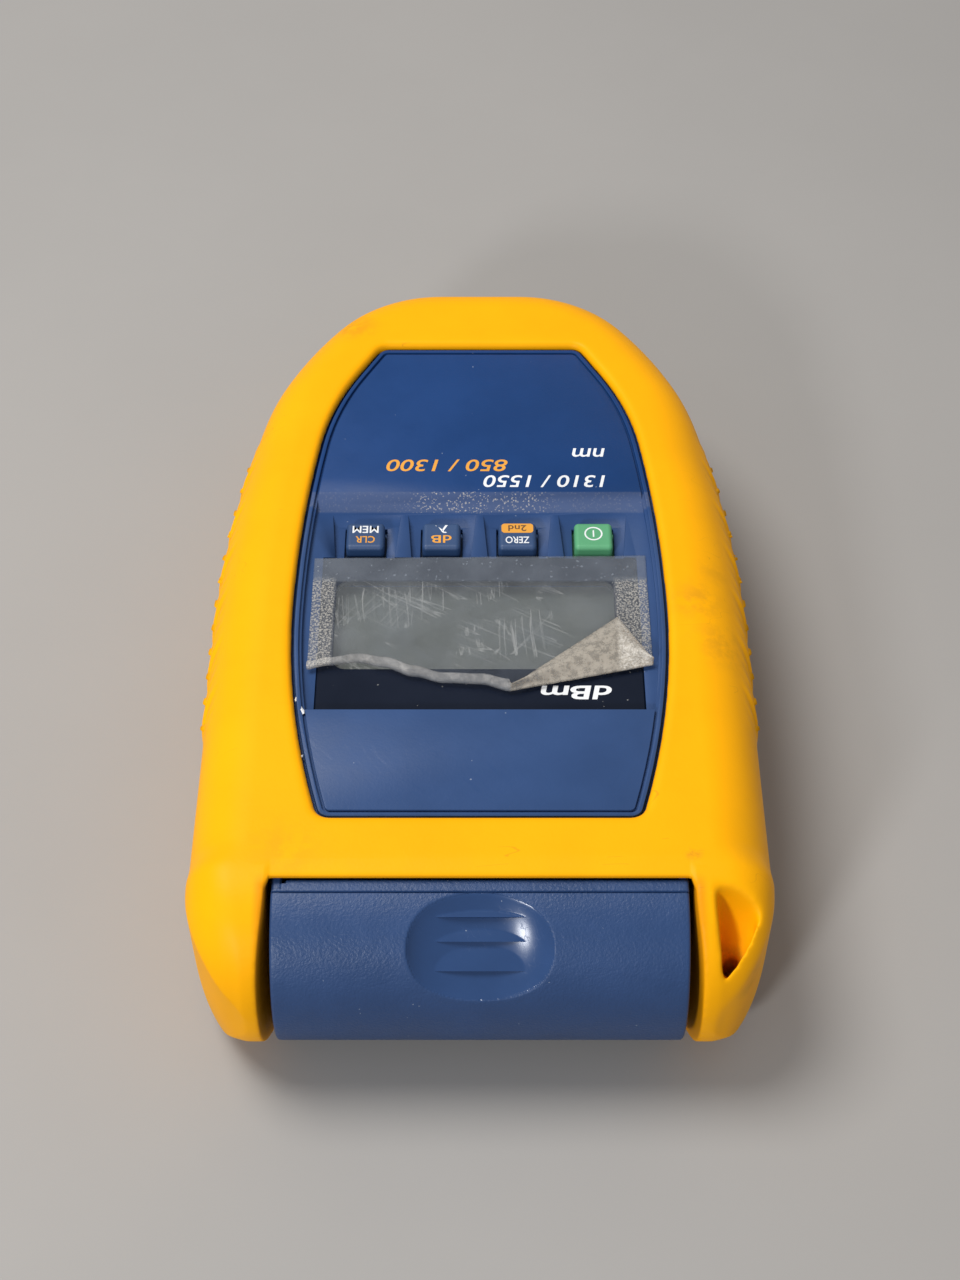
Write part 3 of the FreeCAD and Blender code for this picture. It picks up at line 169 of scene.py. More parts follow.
# ---- Battery, its room and its door ------------------------------------
# A block battery lies across the case on a foam pad, with its snap on the
# two studs. The door is a blue plate held by one screw.


def blended(amount, first, second):
    """One colour laid over another, by an amount in a wire."""
    return put(amount.id_data, "ShaderNodeMix", {0: amount, 6: first, 7: second}, data_type="RGBA").outputs[2]


def axes(tree):
    """The place of each point of the surface, as the wires "X", "Y" and "Z"."""
    return put(tree, "ShaderNodeSeparateXYZ", {"Vector": places(tree)}).outputs


dark_end, copper_end = (0.03, 0.032, 0.04), (0.42, 0.25, 0.08)
jacket, tree, shader = moulded("battery_jacket", dark_end, 0.35, 900.0, 0.05)
stripe = ramp(axes(tree)["X"], -0.0012, -0.0009)
feed(shader, Base_Color=blended(stripe, (*dark_end, 1), (*copper_end, 1)))
wear(nodes["battery_cell"], jacket)
grey_plastic = moulded("grey_plastic", (0.22, 0.22, 0.22), 0.5, 1800.0, 0.2)[0]
grey_rubber = moulded("grey_rubber", (0.16, 0.16, 0.165), 0.75, 1500.0, 0.4)[0]
wear(nodes["battery_snap"], grey_plastic)
wear(nodes["battery_pad"], grey_rubber)
wear(nodes["battery_door"], blue_case)

# Scratches: long thin marks in one direction, broken up along their length
scratches, taken, given = new_effect(
    "fine_scratches",
    [("Turn", NUMBER, 0.0), ("Scale", NUMBER, 500.0), ("Thin", NUMBER, 0.02), ("Amount", NUMBER, 0.5)],
    [("Mask", NUMBER)])
turned = put(scratches, "ShaderNodeVectorRotate",
             {"Vector": places(scratches), "Angle": taken["Turn"], "Axis": (0.0, 0.0, 1.0)})
drawn = put(scratches, "ShaderNodeVectorMath", {0: turned.outputs["Vector"], 1: (0.06, 1.0, 1.0)},
            operation="MULTIPLY").outputs["Vector"]
lines = put(scratches, "ShaderNodeTexNoise", {"Vector": drawn, "Scale": taken["Scale"], "Detail": 1.0})
ridge = size_of(minus(lines.outputs["Fac"], 0.5))
thin = minus(1.0, ramp(ridge, 0.0, taken["Thin"]))
broken = sums("GREATER_THAN", noisy(scratches, 90.0, 2.0), minus(1.0, taken["Amount"]))
scratches.links.new(times(thin, broken), given["Mask"])


def scratched(tree, *lots):
    """Where a surface is scratched, by lots of marks given as (turn, scale, thin, amount)."""
    labels = "turn", "scale", "thin", "amount"
    return reduce(most, [use(tree, scratches, **dict(zip(labels, lot)))["Mask"] for lot in lots])


def plated(name, colour, rough):
    """Plated or drawn metal, with fine marks from turning and handling."""
    finish, tree, shader = new_finish(name, Metallic=1.0)
    tone = use(tree, cloud, colour=(*colour, 1), amount=0.25, scale=400.0)
    marks = scratched(tree, (0.6, 1800.0, 0.05, 0.6))
    feed(shader, Base_Color=tone["Colour"], Roughness=plus(rough, times(marks, 0.2)))
    bump(shader, marks, 0.2, 0.00005)
    return finish


steel = plated("zinc_steel", (0.56, 0.55, 0.52), 0.28)
nickel = plated("nickel_plate", (0.72, 0.69, 0.6), 0.2)

# ---- Screws ------------------------------------------------------------
# Zinc-plated pan heads with a cross recess. The four case screws go up into
# the front half, four more hold the board, and one holds the battery door.


def placed(name, shape):
    """An object made from a mesh, from a curve, or from a bmesh, which is used up."""
    if isinstance(shape, bmesh.types.BMesh):
        data = bpy.data.meshes.new(name)
        shape.to_mesh(data)
        shape.free()
        shape = data
    piece = bpy.data.objects.new(name, shape)
    bpy.context.scene.collection.objects.link(piece)
    return piece


def evaluated(piece):
    """The mesh that an object's modifiers or its lettering make."""
    return bpy.data.meshes.new_from_object(piece.evaluated_get(bpy.context.evaluated_depsgraph_get()))


def screw_tree():
    """Nodes that give each point of a pattern a pan head with a cross recess."""
    tree = bpy.data.node_groups.new("screw_heads", "GeometryNodeTree")
    tree.interface.new_socket("Geometry", in_out="OUTPUT", socket_type="NodeSocketGeometry")
    tree.interface.new_socket("Geometry", in_out="INPUT", socket_type="NodeSocketGeometry")
    for label, value in (("Radius", 0.0027), ("Height", 0.001), ("Cross", 0.0007)):
        tree.interface.new_socket(label, in_out="INPUT", socket_type=NUMBER).default_value = value
    tree.interface.new_socket("Metal", in_out="INPUT", socket_type="NodeSocketMaterial")
    entry, leave = tree.nodes.new("NodeGroupInput").outputs, tree.nodes.new("NodeGroupOutput").inputs

    def vector(*values):
        return put(tree, "ShaderNodeCombineXYZ", dict(enumerate(values))).outputs[0]

    radius, height, cross_wide = entry["Radius"], entry["Height"], entry["Cross"]
    head = put(tree, "GeometryNodeMeshCylinder", {"Vertices": 32, "Radius": radius, "Depth": height})
    long, deep = times(radius, 1.1), times(height, 1.4)
    cross = put(tree, "GeometryNodeMeshBoolean", operation="UNION", solver="EXACT")
    for size in (vector(long, cross_wide, deep), vector(cross_wide, long, deep)):
        arm = put(tree, "GeometryNodeMeshCube", {"Size": size})
        tree.links.new(arm.outputs["Mesh"], cross.inputs["Mesh 2"])
    sunk = put(tree, "GeometryNodeTransform",
               {"Geometry": cross.outputs["Mesh"], "Translation": vector(0.0, 0.0, times(height, -0.6))})
    cut = put(tree, "GeometryNodeMeshBoolean", {"Mesh 1": head.outputs["Mesh"]},
              operation="DIFFERENCE", solver="EXACT")
    tree.links.new(sunk.outputs["Geometry"], cut.inputs["Mesh 2"])
    heads = put(tree, "GeometryNodeInstanceOnPoints",
                {"Points": entry["Geometry"], "Instance": cut.outputs["Mesh"]})
    real = put(tree, "GeometryNodeRealizeInstances", {"Geometry": heads.outputs["Instances"]})
    dressed = put(tree, "GeometryNodeSetMaterial",
                  {"Geometry": real.outputs["Geometry"], "Material": entry["Metal"]})
    tree.links.new(dressed.outputs["Geometry"], leave["Geometry"])
    return tree


def grown(name, points, tree, body, slot, **inputs):
    """A plain mesh made by a node tree from a pattern of points."""
    pattern = bpy.data.meshes.new(name + "_pattern")
    pattern.from_pydata(points, [], [])
    carrier = placed(name + "_pattern", pattern)
    maker = carrier.modifiers.new("maker", "NODES")
    maker.node_group = tree
    sockets = {item.name: item.identifier for item in tree.interface.items_tree if item.in_out == "INPUT"}
    for label, value in inputs.items():
        maker[sockets[label.capitalize()]] = value
    mesh = evaluated(carrier)
    carrier.modifiers.remove(maker)
    bpy.data.objects.remove(carrier)
    piece = placed(name, mesh)
    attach(piece, body)


heads = screw_tree()
for name in ("case_screws", "board_screws", "door_screw"):
    wear(nodes[name], steel)
head_round, cross_wide, far_pair_x = 0.0026, 0.0008, 0.0235
low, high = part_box("case_screws")
spread, seat = 0.0027, 0.0003
corners = [(side * x, y, low.z - seat) for side in (-1, 1) for x, y in
           ((abs(high.x) - spread, low.y + spread), (far_pair_x, high.y - spread))]
grown("case_screw_heads", corners, heads, "meter", "steel",
      radius=head_round, height=0.0009, cross=cross_wide, metal=steel)
low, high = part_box("door_screw")
seat = 0.00015
middle = (0.0, (low.y + high.y) / 2, low.z - seat)
grown("door_screw_head", [middle], heads, "meter", "steel",
      radius=head_round, height=0.0008, cross=cross_wide, metal=steel)

# ---- Boards ------------------------------------------------------------
# The lacquered glass-fibre main board with its chips, buzzer and socket on
# the back, and the small detector board inside the port block.

lacquer = (0.012, 0.14, 0.045)
solder_mask, tree, shader = moulded("solder_mask", lacquer, 0.3, 700.0, 0.05)
tracks = put(tree, "ShaderNodeTexBrick",
             {"Vector": places(tree), "Scale": 260.0, "Color1": (*lacquer, 1),
              "Color2": (0.02, 0.2, 0.07, 1), "Mortar": (0.03, 0.26, 0.1, 1), "Mortar Size": 0.03})
feed(shader, Base_Color=tracks.outputs["Color"])
chip_black = moulded("moulded_epoxy", (0.012, 0.012, 0.013), 0.4, 3000.0, 0.2)[0]
amber = moulded("flexible_circuit", (0.4, 0.16, 0.02), 0.3, 600.0, 0.05)[0]
pink_rubber = moulded("layered_contact_rubber", (0.5, 0.19, 0.23), 0.6, 4000.0, 0.2)[0]
for finish, names in ((solder_mask, ("main_board", "detector_board")),
                      (chip_black, ("processor_chip", "converter_chip", "amplifier_chip", "buzzer")),
                      (grey_plastic, ("flex_socket", "lcd_frame")), (grey_rubber, ("keypad_mat",)),
                      (pink_rubber, ("contact_strip_far", "contact_strip_near")),
                      (amber, ("detector_flex",))):
    for name in names:
        wear(nodes[name], finish)

# ---- Optical port ------------------------------------------------------
# A black block stands in the bay behind the rolling cover. It carries the
# nickel adapter with its ceramic sleeve, and the detector in a metal can.

black_plastic = moulded("black_plastic", (0.014, 0.014, 0.016), 0.45, 2200.0, 0.3)[0]
ceramic = moulded("ground_zirconia", (0.82, 0.8, 0.74), 0.18, 3000.0, 0.02)[0]
for name, finish in (("port_block", black_plastic), ("port_adapter", nickel), ("adapter_screws", steel),
                     ("ferrule_sleeve", ceramic), ("detector", nickel)):
    wear(nodes[name], finish)


def bridged(mesh, rings, closed=True):
    """Faces between rows of corners, each row joined to the next."""
    for first, second in zip(rings, rings[1:]):
        for i in range(len(first) if closed else len(first) - 1):
            j = (i + 1) % len(first)
            mesh.faces.new((first[i], first[j], second[j], second[i]))


def outwards(mesh):
    """Turns all faces of a bmesh outwards."""
    bmesh.ops.recalc_face_normals(mesh, faces=mesh.faces)


# The adapter's barrel has a fine rolled thread for the connector's cap
turns, pitch, crest, root = 5, 0.00075, 0.00405, 0.00376
steps_a_turn, sides, run_in, port_level = 24, 48, 0.0004, 0.019
low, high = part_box("port_adapter")
thread = bmesh.new()
rows = []
for step in range(turns * steps_a_turn + 1):
    y = low.y + run_in + step * pitch / steps_a_turn
    row = []
    for side in range(sides):
        turn = 2 * math.pi * side / sides
        wave = abs(((y - low.y) / pitch + side / sides) % 1.0 - 0.5) * 2
        radius = root + (crest - root) * wave
        row.append(thread.verts.new((radius * math.cos(turn), y, port_level + radius * math.sin(turn))))
    rows.append(row)
bridged(thread, rows)
outwards(thread)
adapter_thread = placed("adapter_thread", thread)
adapter_thread.data.shade_smooth()
wear(adapter_thread, nickel)
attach(adapter_thread, "meter")

# ---- Display -----------------------------------------------------------
# A grey liquid crystal glass in a tray, behind a clear acrylic lens that is
# printed near-black on its back except over the viewing window.

glass, tree, shader = new_finish("display_glass", Roughness=0.35, Specular_IOR_Level=0.4)
tone = use(tree, cloud, colour=(0.115, 0.13, 0.122, 1), amount=0.22, scale=45.0)
feed(shader, Base_Color=tone["Colour"])
wear(nodes["lcd_panel"], glass)


def seated(name, outlines, finish, body, open_middle=False, stands_for=()):
    """A flat plate from matching rings of points, its ends closed, or joined round an open middle."""
    mesh = bmesh.new()
    rings = [[mesh.verts.new(point) for point in ring] for ring in outlines]
    bridged(mesh, rings + rings[:1] if open_middle else rings)
    if not open_middle:
        mesh.faces.new(rings[0][::-1])
        mesh.faces.new(rings[-1])
    outwards(mesh)
    piece = placed(name, mesh)
    wear(piece, finish)
    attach(piece, body)
    if stands_for:
        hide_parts(*stands_for)


def round_box(centre, half, radius, z, count=10):
    """Points round a rectangle with round corners, at one height."""
    points = []
    for sx, sy, start in ((1, 1, 0), (-1, 1, 90), (-1, -1, 180), (1, -1, 270)):
        corner = centre[0] + sx * (half[0] - radius), centre[1] + sy * (half[1] - radius)
        for step in range(count + 1):
            turn = math.radians(start + 90 * step / count)
            points.append((corner[0] + radius * math.cos(turn), corner[1] + radius * math.sin(turn), z))
    return points


def face_of(node, inset=0.0):
    """The middle and the half size of a sub-part's box, seen from the front."""
    low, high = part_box(node)
    middle = (low.x + high.x) / 2, (low.y + high.y) / 2
    return middle, ((high.x - low.x) / 2 - inset, (high.y - low.y) / 2 - inset)


low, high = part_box("display_lens")
lens_middle, lens_half = face_of("display_lens")
view_middle, view_half = face_of("lcd_panel", 0.003)
lens_edge, lens_corner, view_corner = 0.0002, 0.0012, 0.0022

# Specks: scattered dust and lint, each one a small irregular dot
specks, taken, given = new_effect(
    "dust_specks", [("Scale", NUMBER, 900.0), ("Size", NUMBER, 0.25), ("Amount", NUMBER, 0.1)],
    [("Mask", NUMBER)])
place = places(specks)
warp = put(specks, "ShaderNodeTexNoise", {"Vector": place, "Scale": times(taken["Scale"], 1.7)})
shift = put(specks, "ShaderNodeVectorMath", {0: warp.outputs["Color"], "Scale": 0.0006}, operation="SCALE")
bent = put(specks, "ShaderNodeVectorMath", {0: place, 1: shift.outputs["Vector"]}, operation="ADD")
cells = put(specks, "ShaderNodeTexVoronoi", {"Vector": bent.outputs["Vector"], "Scale": taken["Scale"]})
near = sums("LESS_THAN", cells.outputs["Distance"], taken["Size"])
chosen = put(specks, "ShaderNodeSeparateColor", {"Color": cells.outputs["Color"]}).outputs["Red"]
kept = sums("LESS_THAN", chosen, taken["Amount"])
specks.links.new(times(near, kept), given["Mask"])


def specked(tree, scale, size, amount):
    """Where specks of dust lie on a surface."""
    return use(tree, specks, scale=scale, size=size, amount=amount)["Mask"]


bezel, tree, shader = new_finish("printed_bezel", Specular_IOR_Level=0.15)
tone = use(tree, cloud, colour=(0.0075, 0.011, 0.022, 1), amount=0.2, scale=50.0)
shade = blended(specked(tree, 1500.0, 0.18, 0.03), tone["Colour"], (0.22, 0.22, 0.21, 1))
feed(shader, Base_Color=shade, Roughness=plus(0.14, times(tone["Mask"], 0.12)))
top_half = [half - lens_edge for half in lens_half]
print_rings = [round_box(lens_middle, lens_half, lens_corner, low.z),
               round_box(lens_middle, lens_half, lens_corner, high.z - lens_edge),
               round_box(lens_middle, top_half, lens_corner - lens_edge, high.z),
               round_box(view_middle, view_half, view_corner, high.z),
               round_box(view_middle, view_half, view_corner, low.z)]
seated("lens_print", print_rings, bezel, "meter", True, ("display_lens",))

clear, tree, shader = new_finish("lens_window", Roughness=0.1, IOR=1.49)
mark = scratched(tree, (0.5, 420.0, 0.012, 0.5), (-0.9, 380.0, 0.01, 0.42), (1.5, 600.0, 0.02, 0.45))
haze = use(tree, cloud, colour=(0.3, 0.31, 0.3, 1), amount=0.2, scale=120.0)
veil = plus(times(haze["Mask"], 0.06), 0.1)
feed(shader, Base_Color=blended(mark, haze["Colour"], (0.62, 0.62, 0.6, 1)),
     Alpha=plus(veil, times(mark, 0.16), clamp=True))
window_rings = [round_box(view_middle, view_half, view_corner, high.z - sunk) for sunk in (0.0003, 0.00002)]
seated("lens_window", window_rings, clear, "meter")

# ---- Keys --------------------------------------------------------------
# Four rubber keys in a row, three blue and one green, each with a crowned
# top, a flange under the shell, and legends printed in white or orange.

key_blue = moulded("key_blue_rubber", (0.022, 0.058, 0.15), 0.5, 1600.0, 0.25)[0]
key_green = moulded("key_green_rubber", (0.09, 0.34, 0.16), 0.5, 1600.0, 0.25)[0]
white_ink = moulded("white_ink", (0.78, 0.79, 0.8), 0.5, 3000.0, 0.2)[0]
orange_ink = moulded("orange_ink", (0.75, 0.33, 0.035), 0.5, 3000.0, 0.2)[0]
brown_ink = moulded("brown_ink", (0.1, 0.045, 0.02), 0.5, 3000.0, 0.2)[0]
for body in ("memory", "wavelength", "reference", "power"):
    wear(nodes[body + "_key"], key_green if body == "power" else key_blue)


def legend(name, text, centre, tall, z, finish, body, wide=None, slant=0.0, weight=0.0):
    """Printed lettering, its top towards the near end, a hair above the face it is printed on."""
    letters = bpy.data.curves.new(name, "FONT")
    letters.body, letters.size, letters.align_x, letters.align_y = text, 1.0, "CENTER", "CENTER"
    letters.shear, letters.offset, letters.extrude = slant, weight, 0.0
    letters.resolution_u = 4
    writer = placed(name + "_letters", letters)
    bpy.context.view_layer.update()
    mesh = evaluated(writer)
    bpy.data.objects.remove(writer)
    xs, ys = [v.co.x for v in mesh.vertices], [v.co.y for v in mesh.vertices]
    span = max(xs) - min(xs), max(ys) - min(ys)
    middle = (max(xs) + min(xs)) / 2, (max(ys) + min(ys)) / 2
    rise = tall / span[1]
    run = wide / span[0] if wide else rise
    for vertex in mesh.vertices:
        x, y = vertex.co.x - middle[0], vertex.co.y - middle[1]
        vertex.co = (centre[0] - x * run, centre[1] - y * rise, z)
    mesh.update()
    if sum(face.normal.z for face in mesh.polygons) < 0:
        mesh.flip_normals()
    piece = placed(name, mesh)
    wear(piece, finish)
    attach(piece, body)


# Each legend: its text, its place towards the far end of the key, its height, its width and its ink
ink_lift = 0.00002
prints = {"memory": (("MEM", 0.0013, 0.0017, 0.0046, white_ink),
                     ("CLR", -0.0011, 0.0016, 0.0034, orange_ink)),
          "wavelength": (("λ", 0.0014, 0.0019, 0.0022, white_ink),
                         ("dB", -0.001, 0.0018, 0.0036, orange_ink)),
          "reference": (("ZERO", -0.0012, 0.0016, 0.0042, white_ink),)}
for body, legends in prints.items():
    middle, face = face_of(body + "_key")[0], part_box(body + "_key")[1].z
    for text, dy, tall, wide, ink in legends:
        name = f"{body}_print_{text if text.isascii() else 'lambda'}"
        legend(name, text, (middle[0], middle[1] + dy), tall, face + ink_lift, ink, body, wide,
               weight=0.012)

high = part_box("reference_key")[1]
middle = face_of("reference_key")[0]
middle, pill_half, pill_corner = (middle[0], middle[1] + 0.0016), (0.0028, 0.0011), 0.0006
pill = [round_box(middle, pill_half, pill_corner, high.z + lift) for lift in (ink_lift / 2, ink_lift)]
seated("reference_print_field", pill, orange_ink, "reference")
legend("reference_print_shift", "2nd", middle, 0.0014, high.z + 2 * ink_lift, brown_ink, "reference",
       0.0032, weight=0.01)


def circle(centre, radius, z, count=48):
    """Points round a circle, at one height."""
    return [(centre[0] + radius * math.cos(2 * math.pi * step / count),
             centre[1] + radius * math.sin(2 * math.pi * step / count), z) for step in range(count)]


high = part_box("power_key")[1]
middle = face_of("power_key")[0]
middle, ring_out, ring_in = (middle[0], middle[1] + 0.0003), 0.00160, 0.00133
ring = [circle(middle, radius, high.z + lift) for radius, lift in
        ((ring_out, 0), (ring_out, ink_lift), (ring_in, ink_lift), (ring_in, 0))]
seated("power_print_ring", ring, white_ink, "power", True)
bar = [round_box(middle, (0.00013, 0.0008), 0.0001, high.z + lift, 4) for lift in (0, ink_lift)]
seated("power_print_bar", bar, white_ink, "power")

# ---- Front half of the case --------------------------------------------
# The blue lid: a raised deck that fills the holster's window, its lowered
# zone for keys and display, a groove round the panel, and the pin tongues.


def softened(node, name, width, turn=28.0, segments=2):
    """A merged copy of a moulded sub-part with its sharp edges broken."""
    mesh = bmesh.new()
    mesh.from_mesh(nodes[node].data)
    bmesh.ops.remove_doubles(mesh, verts=mesh.verts, dist=2e-6)
    bmesh.ops.dissolve_limit(mesh, angle_limit=math.radians(0.6), verts=mesh.verts, edges=mesh.edges)
    piece = placed(name, mesh)
    edge = piece.modifiers.new("edge", "BEVEL")
    edge.width, edge.segments, edge.miter_outer = width, segments, "MITER_ARC"
    edge.limit_method, edge.angle_limit = "ANGLE", math.radians(turn)
    edge.use_clamp_overlap, edge.harden_normals = True, True
    piece.data.shade_smooth()
    return piece


front_case, tree, shader = new_finish("front_case", Specular_IOR_Level=0.14)
where = axes(tree)
# Painted shade: the lid's blue goes from a lighter near blue to a darker, deeper far blue towards the far end
far_shade = ramp(where["Y"], 0.010, 0.024)
plain = blended(far_shade, (0.031, 0.068, 0.175, 1), (0.010, 0.044, 0.155, 1))
tone = use(tree, cloud, colour=plain, amount=0.12, scale=70.0)
lint = specked(tree, 900.0, 0.12, 0.02)
slope = times(ramp(where["Y"], 0.0165, 0.0172), minus(1.0, ramp(where["Y"], 0.0203, 0.0207)))
crumbs = specked(tree, 3000.0, 0.42, 0.3)
middle_part = minus(1.0, ramp(size_of(where["X"]), 0.008, 0.014))
dirt = times(times(crumbs, slope), plus(0.12, middle_part), clamp=True)
dusty = blended(times(slope, 0.22), tone["Colour"], (0.17, 0.19, 0.26, 1))
shade = blended(times(lint, 0.5), dusty, (0.33, 0.37, 0.45, 1))
rubbed = scratched(tree, (0.9, 700.0, 0.02, 0.42))
matt = plus(plus(0.36, times(tone["Mask"], 0.08)), times(slope, 0.15))
feed(shader, Base_Color=blended(times(dirt, 0.75), shade, (0.42, 0.4, 0.38, 1)),
     Roughness=minus(matt, times(rubbed, 0.1)))
bump(shader, use(tree, spark, scale=2400.0)["Height"], 0.3, 0.0001)
lid = softened("front_shell", "front_lid", 0.00022)
wear(lid, front_case)
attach(lid, "meter")
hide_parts("front_shell")

# White chips where the groove beside the panel has been knocked: place, half size and lean of each
chips = bmesh.new()
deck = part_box("front_shell")[1].z
chip_corners, chip_crown, chip_depth, chip_edge = 9, 0.00012, 0.0006, 0.0001
for x, y, half_x, half_y, lean in (
        (-0.0292, -0.0292, 0.00032, 0.0009, 0.25), (-0.0303, -0.0268, 0.0002, 0.0005, -0.1),
        (-0.0299, -0.0377, 0.0008, 0.0004, -0.5), (-0.0288, -0.0385, 0.0004, 0.00025, 0.3)):
    ring = []
    for step in range(chip_corners):
        turn = 2 * math.pi * step / chip_corners
        reach = 1.0 + 0.25 * math.sin(3.1 * step + x * 9000)
        dx, dy = half_x * reach * math.cos(turn), half_y * reach * math.sin(turn)
        ring.append(chips.verts.new((x + dx * math.cos(lean) - dy * math.sin(lean),
                                     y + dx * math.sin(lean) + dy * math.cos(lean), deck - chip_edge)))
    top = chips.verts.new((x, y, deck + chip_crown))
    foot = chips.verts.new((x, y, deck - chip_depth))
    for corner, following in zip(ring, ring[1:] + ring[:1]):
        chips.faces.new((corner, following, top))
        chips.faces.new((following, corner, foot))
outwards(chips)
groove_chips = placed("groove_chips", chips)
wear(groove_chips, white_ink)
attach(groove_chips, "meter")

# Printing on the lid and on the lens: the wavelengths that the meter is set for, and the units
for name, text, middle, tall, wide, ink in (
        ("lid_print_long_waves", "1310 / 1550", (0.0116, 0.0232), 0.0030, 0.0220, white_ink),
        ("lid_print_short_waves", "850 / 1300", (-0.0060, 0.0272), 0.0030, 0.0220, orange_ink),
        ("lid_print_unit", "nm", (0.0198, 0.0305), 0.0022, 0.0060, white_ink)):
    legend(name, text, middle, tall, deck + ink_lift, ink, "meter", wide, 0.18, 0.01)
lens_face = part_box("display_lens")[1].z
legend("lens_print_unit", "dBm", (0.0160, -0.0243), 0.0029, lens_face + ink_lift, white_ink, "meter",
       0.0118, 0.12, 0.02)

# ---- Protective film ---------------------------------------------------
# The maker's clear film is still on the lens, gone milky with wear. It has
# peeled along its near edge, and one corner is folded back on top.

film_level = lens_face + 0.00012
film_far, film_side, film_thick, film_waves = 0.0059, 0.0290, 0.00006, 0.00010
near_edge_line = ((-0.0290, -0.0197), (-0.0255, -0.0188), (-0.0205, -0.0183), (-0.0160, -0.0193),
                  (-0.0110, -0.0212), (-0.0060, -0.0225), (0.0, -0.0228), (0.0052, -0.0243))
fold_start, fold_end, flap_tip = near_edge_line[-1], (0.0290, -0.0188), (0.0234, -0.0093)
tip_share, fold_round, flap_bow, flap_lift = 0.8, 0.00030, 0.0011, 0.0005
curl_round, curl_turn, curl_tail = 0.00045, 2.9, 0.0013
edge_lift, lift_reach = 0.0004, 0.004


def along(points, x):
    """Height of a broken line over a place, with its corners eased."""
    for (x0, y0), (x1, y1) in zip(points, points[1:]):
        if x <= x1:
            share = max(0.0, (x - x0) / (x1 - x0))
            return y0 + (y1 - y0) * share * share * (3 - 2 * share)
    return points[-1][1]


def film_edge(x):
    """Where the lying part of the film ends, towards the port."""
    if x <= fold_start[0]:
        return along(near_edge_line, x)
    return fold_start[1] + (fold_end[1] - fold_start[1]) * (x - fold_start[0]) / (fold_end[0] - fold_start[0])


def ripple(x, y):
    """Small unevenness of the film as it lies."""
    wave = noise.noise(Vector((x * 160, y * 160, 3.0))) + 0.5 * noise.noise(Vector((x * 420, y * 420, 7.0)))
    return film_waves * (wave + 1.0)


def flap(start, x):
    """The folded corner beyond one place on its fold: round the fold, then back over the film."""
    share = (x - fold_start[0]) / (fold_end[0] - fold_start[0])
    first, tip, last = Vector((*fold_start, 0)), Vector((*flap_tip, 0)), Vector((*fold_end, 0))
    if share < tip_share:
        end = first.lerp(tip, share / tip_share)
    else:
        end = tip.lerp(last, (share - tip_share) / (1 - tip_share))
    way = end - Vector((start.x, start.y, 0))
    length, way = way.length, way.normalized() if way.length > 1e-6 else Vector((0, 1, 0))
    for j in range(1, turned_rows + 1):
        if j <= fold_rows:
            turn = math.pi * j / fold_rows
            point = start - way * fold_round * math.sin(turn)
            point.z = start.z + fold_round * (1 - math.cos(turn))
        else:
            share = (j - fold_rows) / (turned_rows - fold_rows)
            point = start + way * length * share
            bow = flap_bow * math.sin(math.pi * share) ** 2 + flap_lift * share ** 2
            point.z = start.z + 2 * fold_round + bow + ripple(point.x, point.y)
        yield point, 1.0


def curl(start, x):
    """The rolled-up edge beyond one place on it, with the tail that it ends in."""
    roll_up = curl_turn + 0.25 * noise.noise(Vector((x * 90, 0.0, 5.0)))
    size = curl_round * (1.0 + 0.35 * noise.noise(Vector((x * 130, 2.0, 0.0))))
    tail = curl_tail + 0.0010 * noise.noise(Vector((x * 55, 7.0, 1.0)))
    for j in range(1, turned_rows + 1):
        share = 2 * j / turned_rows
        turn, beyond = roll_up * min(1.0, share), tail * max(0.0, share - 1)
        point = start + Vector((0, -size * math.sin(turn) - beyond * math.cos(turn),
                                size * (1 - math.cos(turn)) + beyond * math.sin(turn)))
        yield point, min(0.5, 0.2 + 0.5 * j / turned_rows)


sheet = bmesh.new()
lifted = sheet.verts.layers.float.new("lifted")
columns, rows, turned_rows, fold_rows = 132, 56, 14, 6
lines = []
for i in range(columns + 1):
    x = -film_side + 2 * film_side * i / columns
    edge = film_edge(x)
    far = film_far + 0.0003 * x / film_side
    column = []
    for j in range(rows + 1):
        y = far + (edge - far) * j / rows
        lift = edge_lift * max(0.0, 1 - (y - edge) / lift_reach) ** 2
        column.append(sheet.verts.new((x, y, film_level + ripple(x, y) + lift)))
    start = Vector((x, edge, column[-1].co.z))
    for point, raised in flap(start, x) if x > fold_start[0] else curl(start, x):
        corner = sheet.verts.new(point)
        corner[lifted] = raised
        column.append(corner)
    lines.append(column)
bridged(sheet, lines, closed=False)
peeling_film = placed("peeling_film", sheet)
peeling_film.data.shade_smooth()
body_of_film = peeling_film.modifiers.new("thickness", "SOLIDIFY")
body_of_film.thickness, body_of_film.offset = film_thick, 0.0

film, tree, shader = new_finish("cloudy_film", IOR=1.45)
where = axes(tree)
raised = put(tree, "ShaderNodeAttribute", attribute_name="lifted").outputs["Fac"]
milk = use(tree, cloud, colour=(0.24, 0.27, 0.32, 1), amount=0.2, scale=110.0)
far_band = ramp(where["Y"], -0.0002, 0.0006)
side_band = ramp(size_of(plus(where["X"], 0.0009)), 0.0238, 0.0246)
loose = ramp(where["Y"], 0.0016, -0.0004)
speckle = noisy(tree, 3000.0, 3.0, 0.7)
sparkle = ramp(speckle, 0.46, 0.6)
margin = times(side_band, times(loose, plus(0.2, sparkle)))
band = times(far_band, plus(0.15, times(specked(tree, 1500.0, 0.3, 0.14), 0.3)))
line_marks = times(scratched(tree, (0.35, 300.0, 0.008, 0.42), (1.45, 420.0, 0.010, 0.36)), 0.08)
veil = plus(0.05, times(milk["Mask"], 0.05))
cover_all = plus(plus(veil, band), plus(times(margin, 0.38), line_marks))
haze = plus(0.22, times(ramp(noisy(tree, 800.0, 4.0, 0.75), 0.4, 0.62), 0.34))
beige = blended(raised, milk["Colour"], (0.50, 0.45, 0.38, 1))
feed(shader, Base_Color=blended(times(margin, 0.8, clamp=True), beige, (0.56, 0.53, 0.48, 1)),
     Roughness=plus(0.28, times(sparkle, 0.25)), Alpha=plus(cover_all, times(raised, haze), clamp=True))
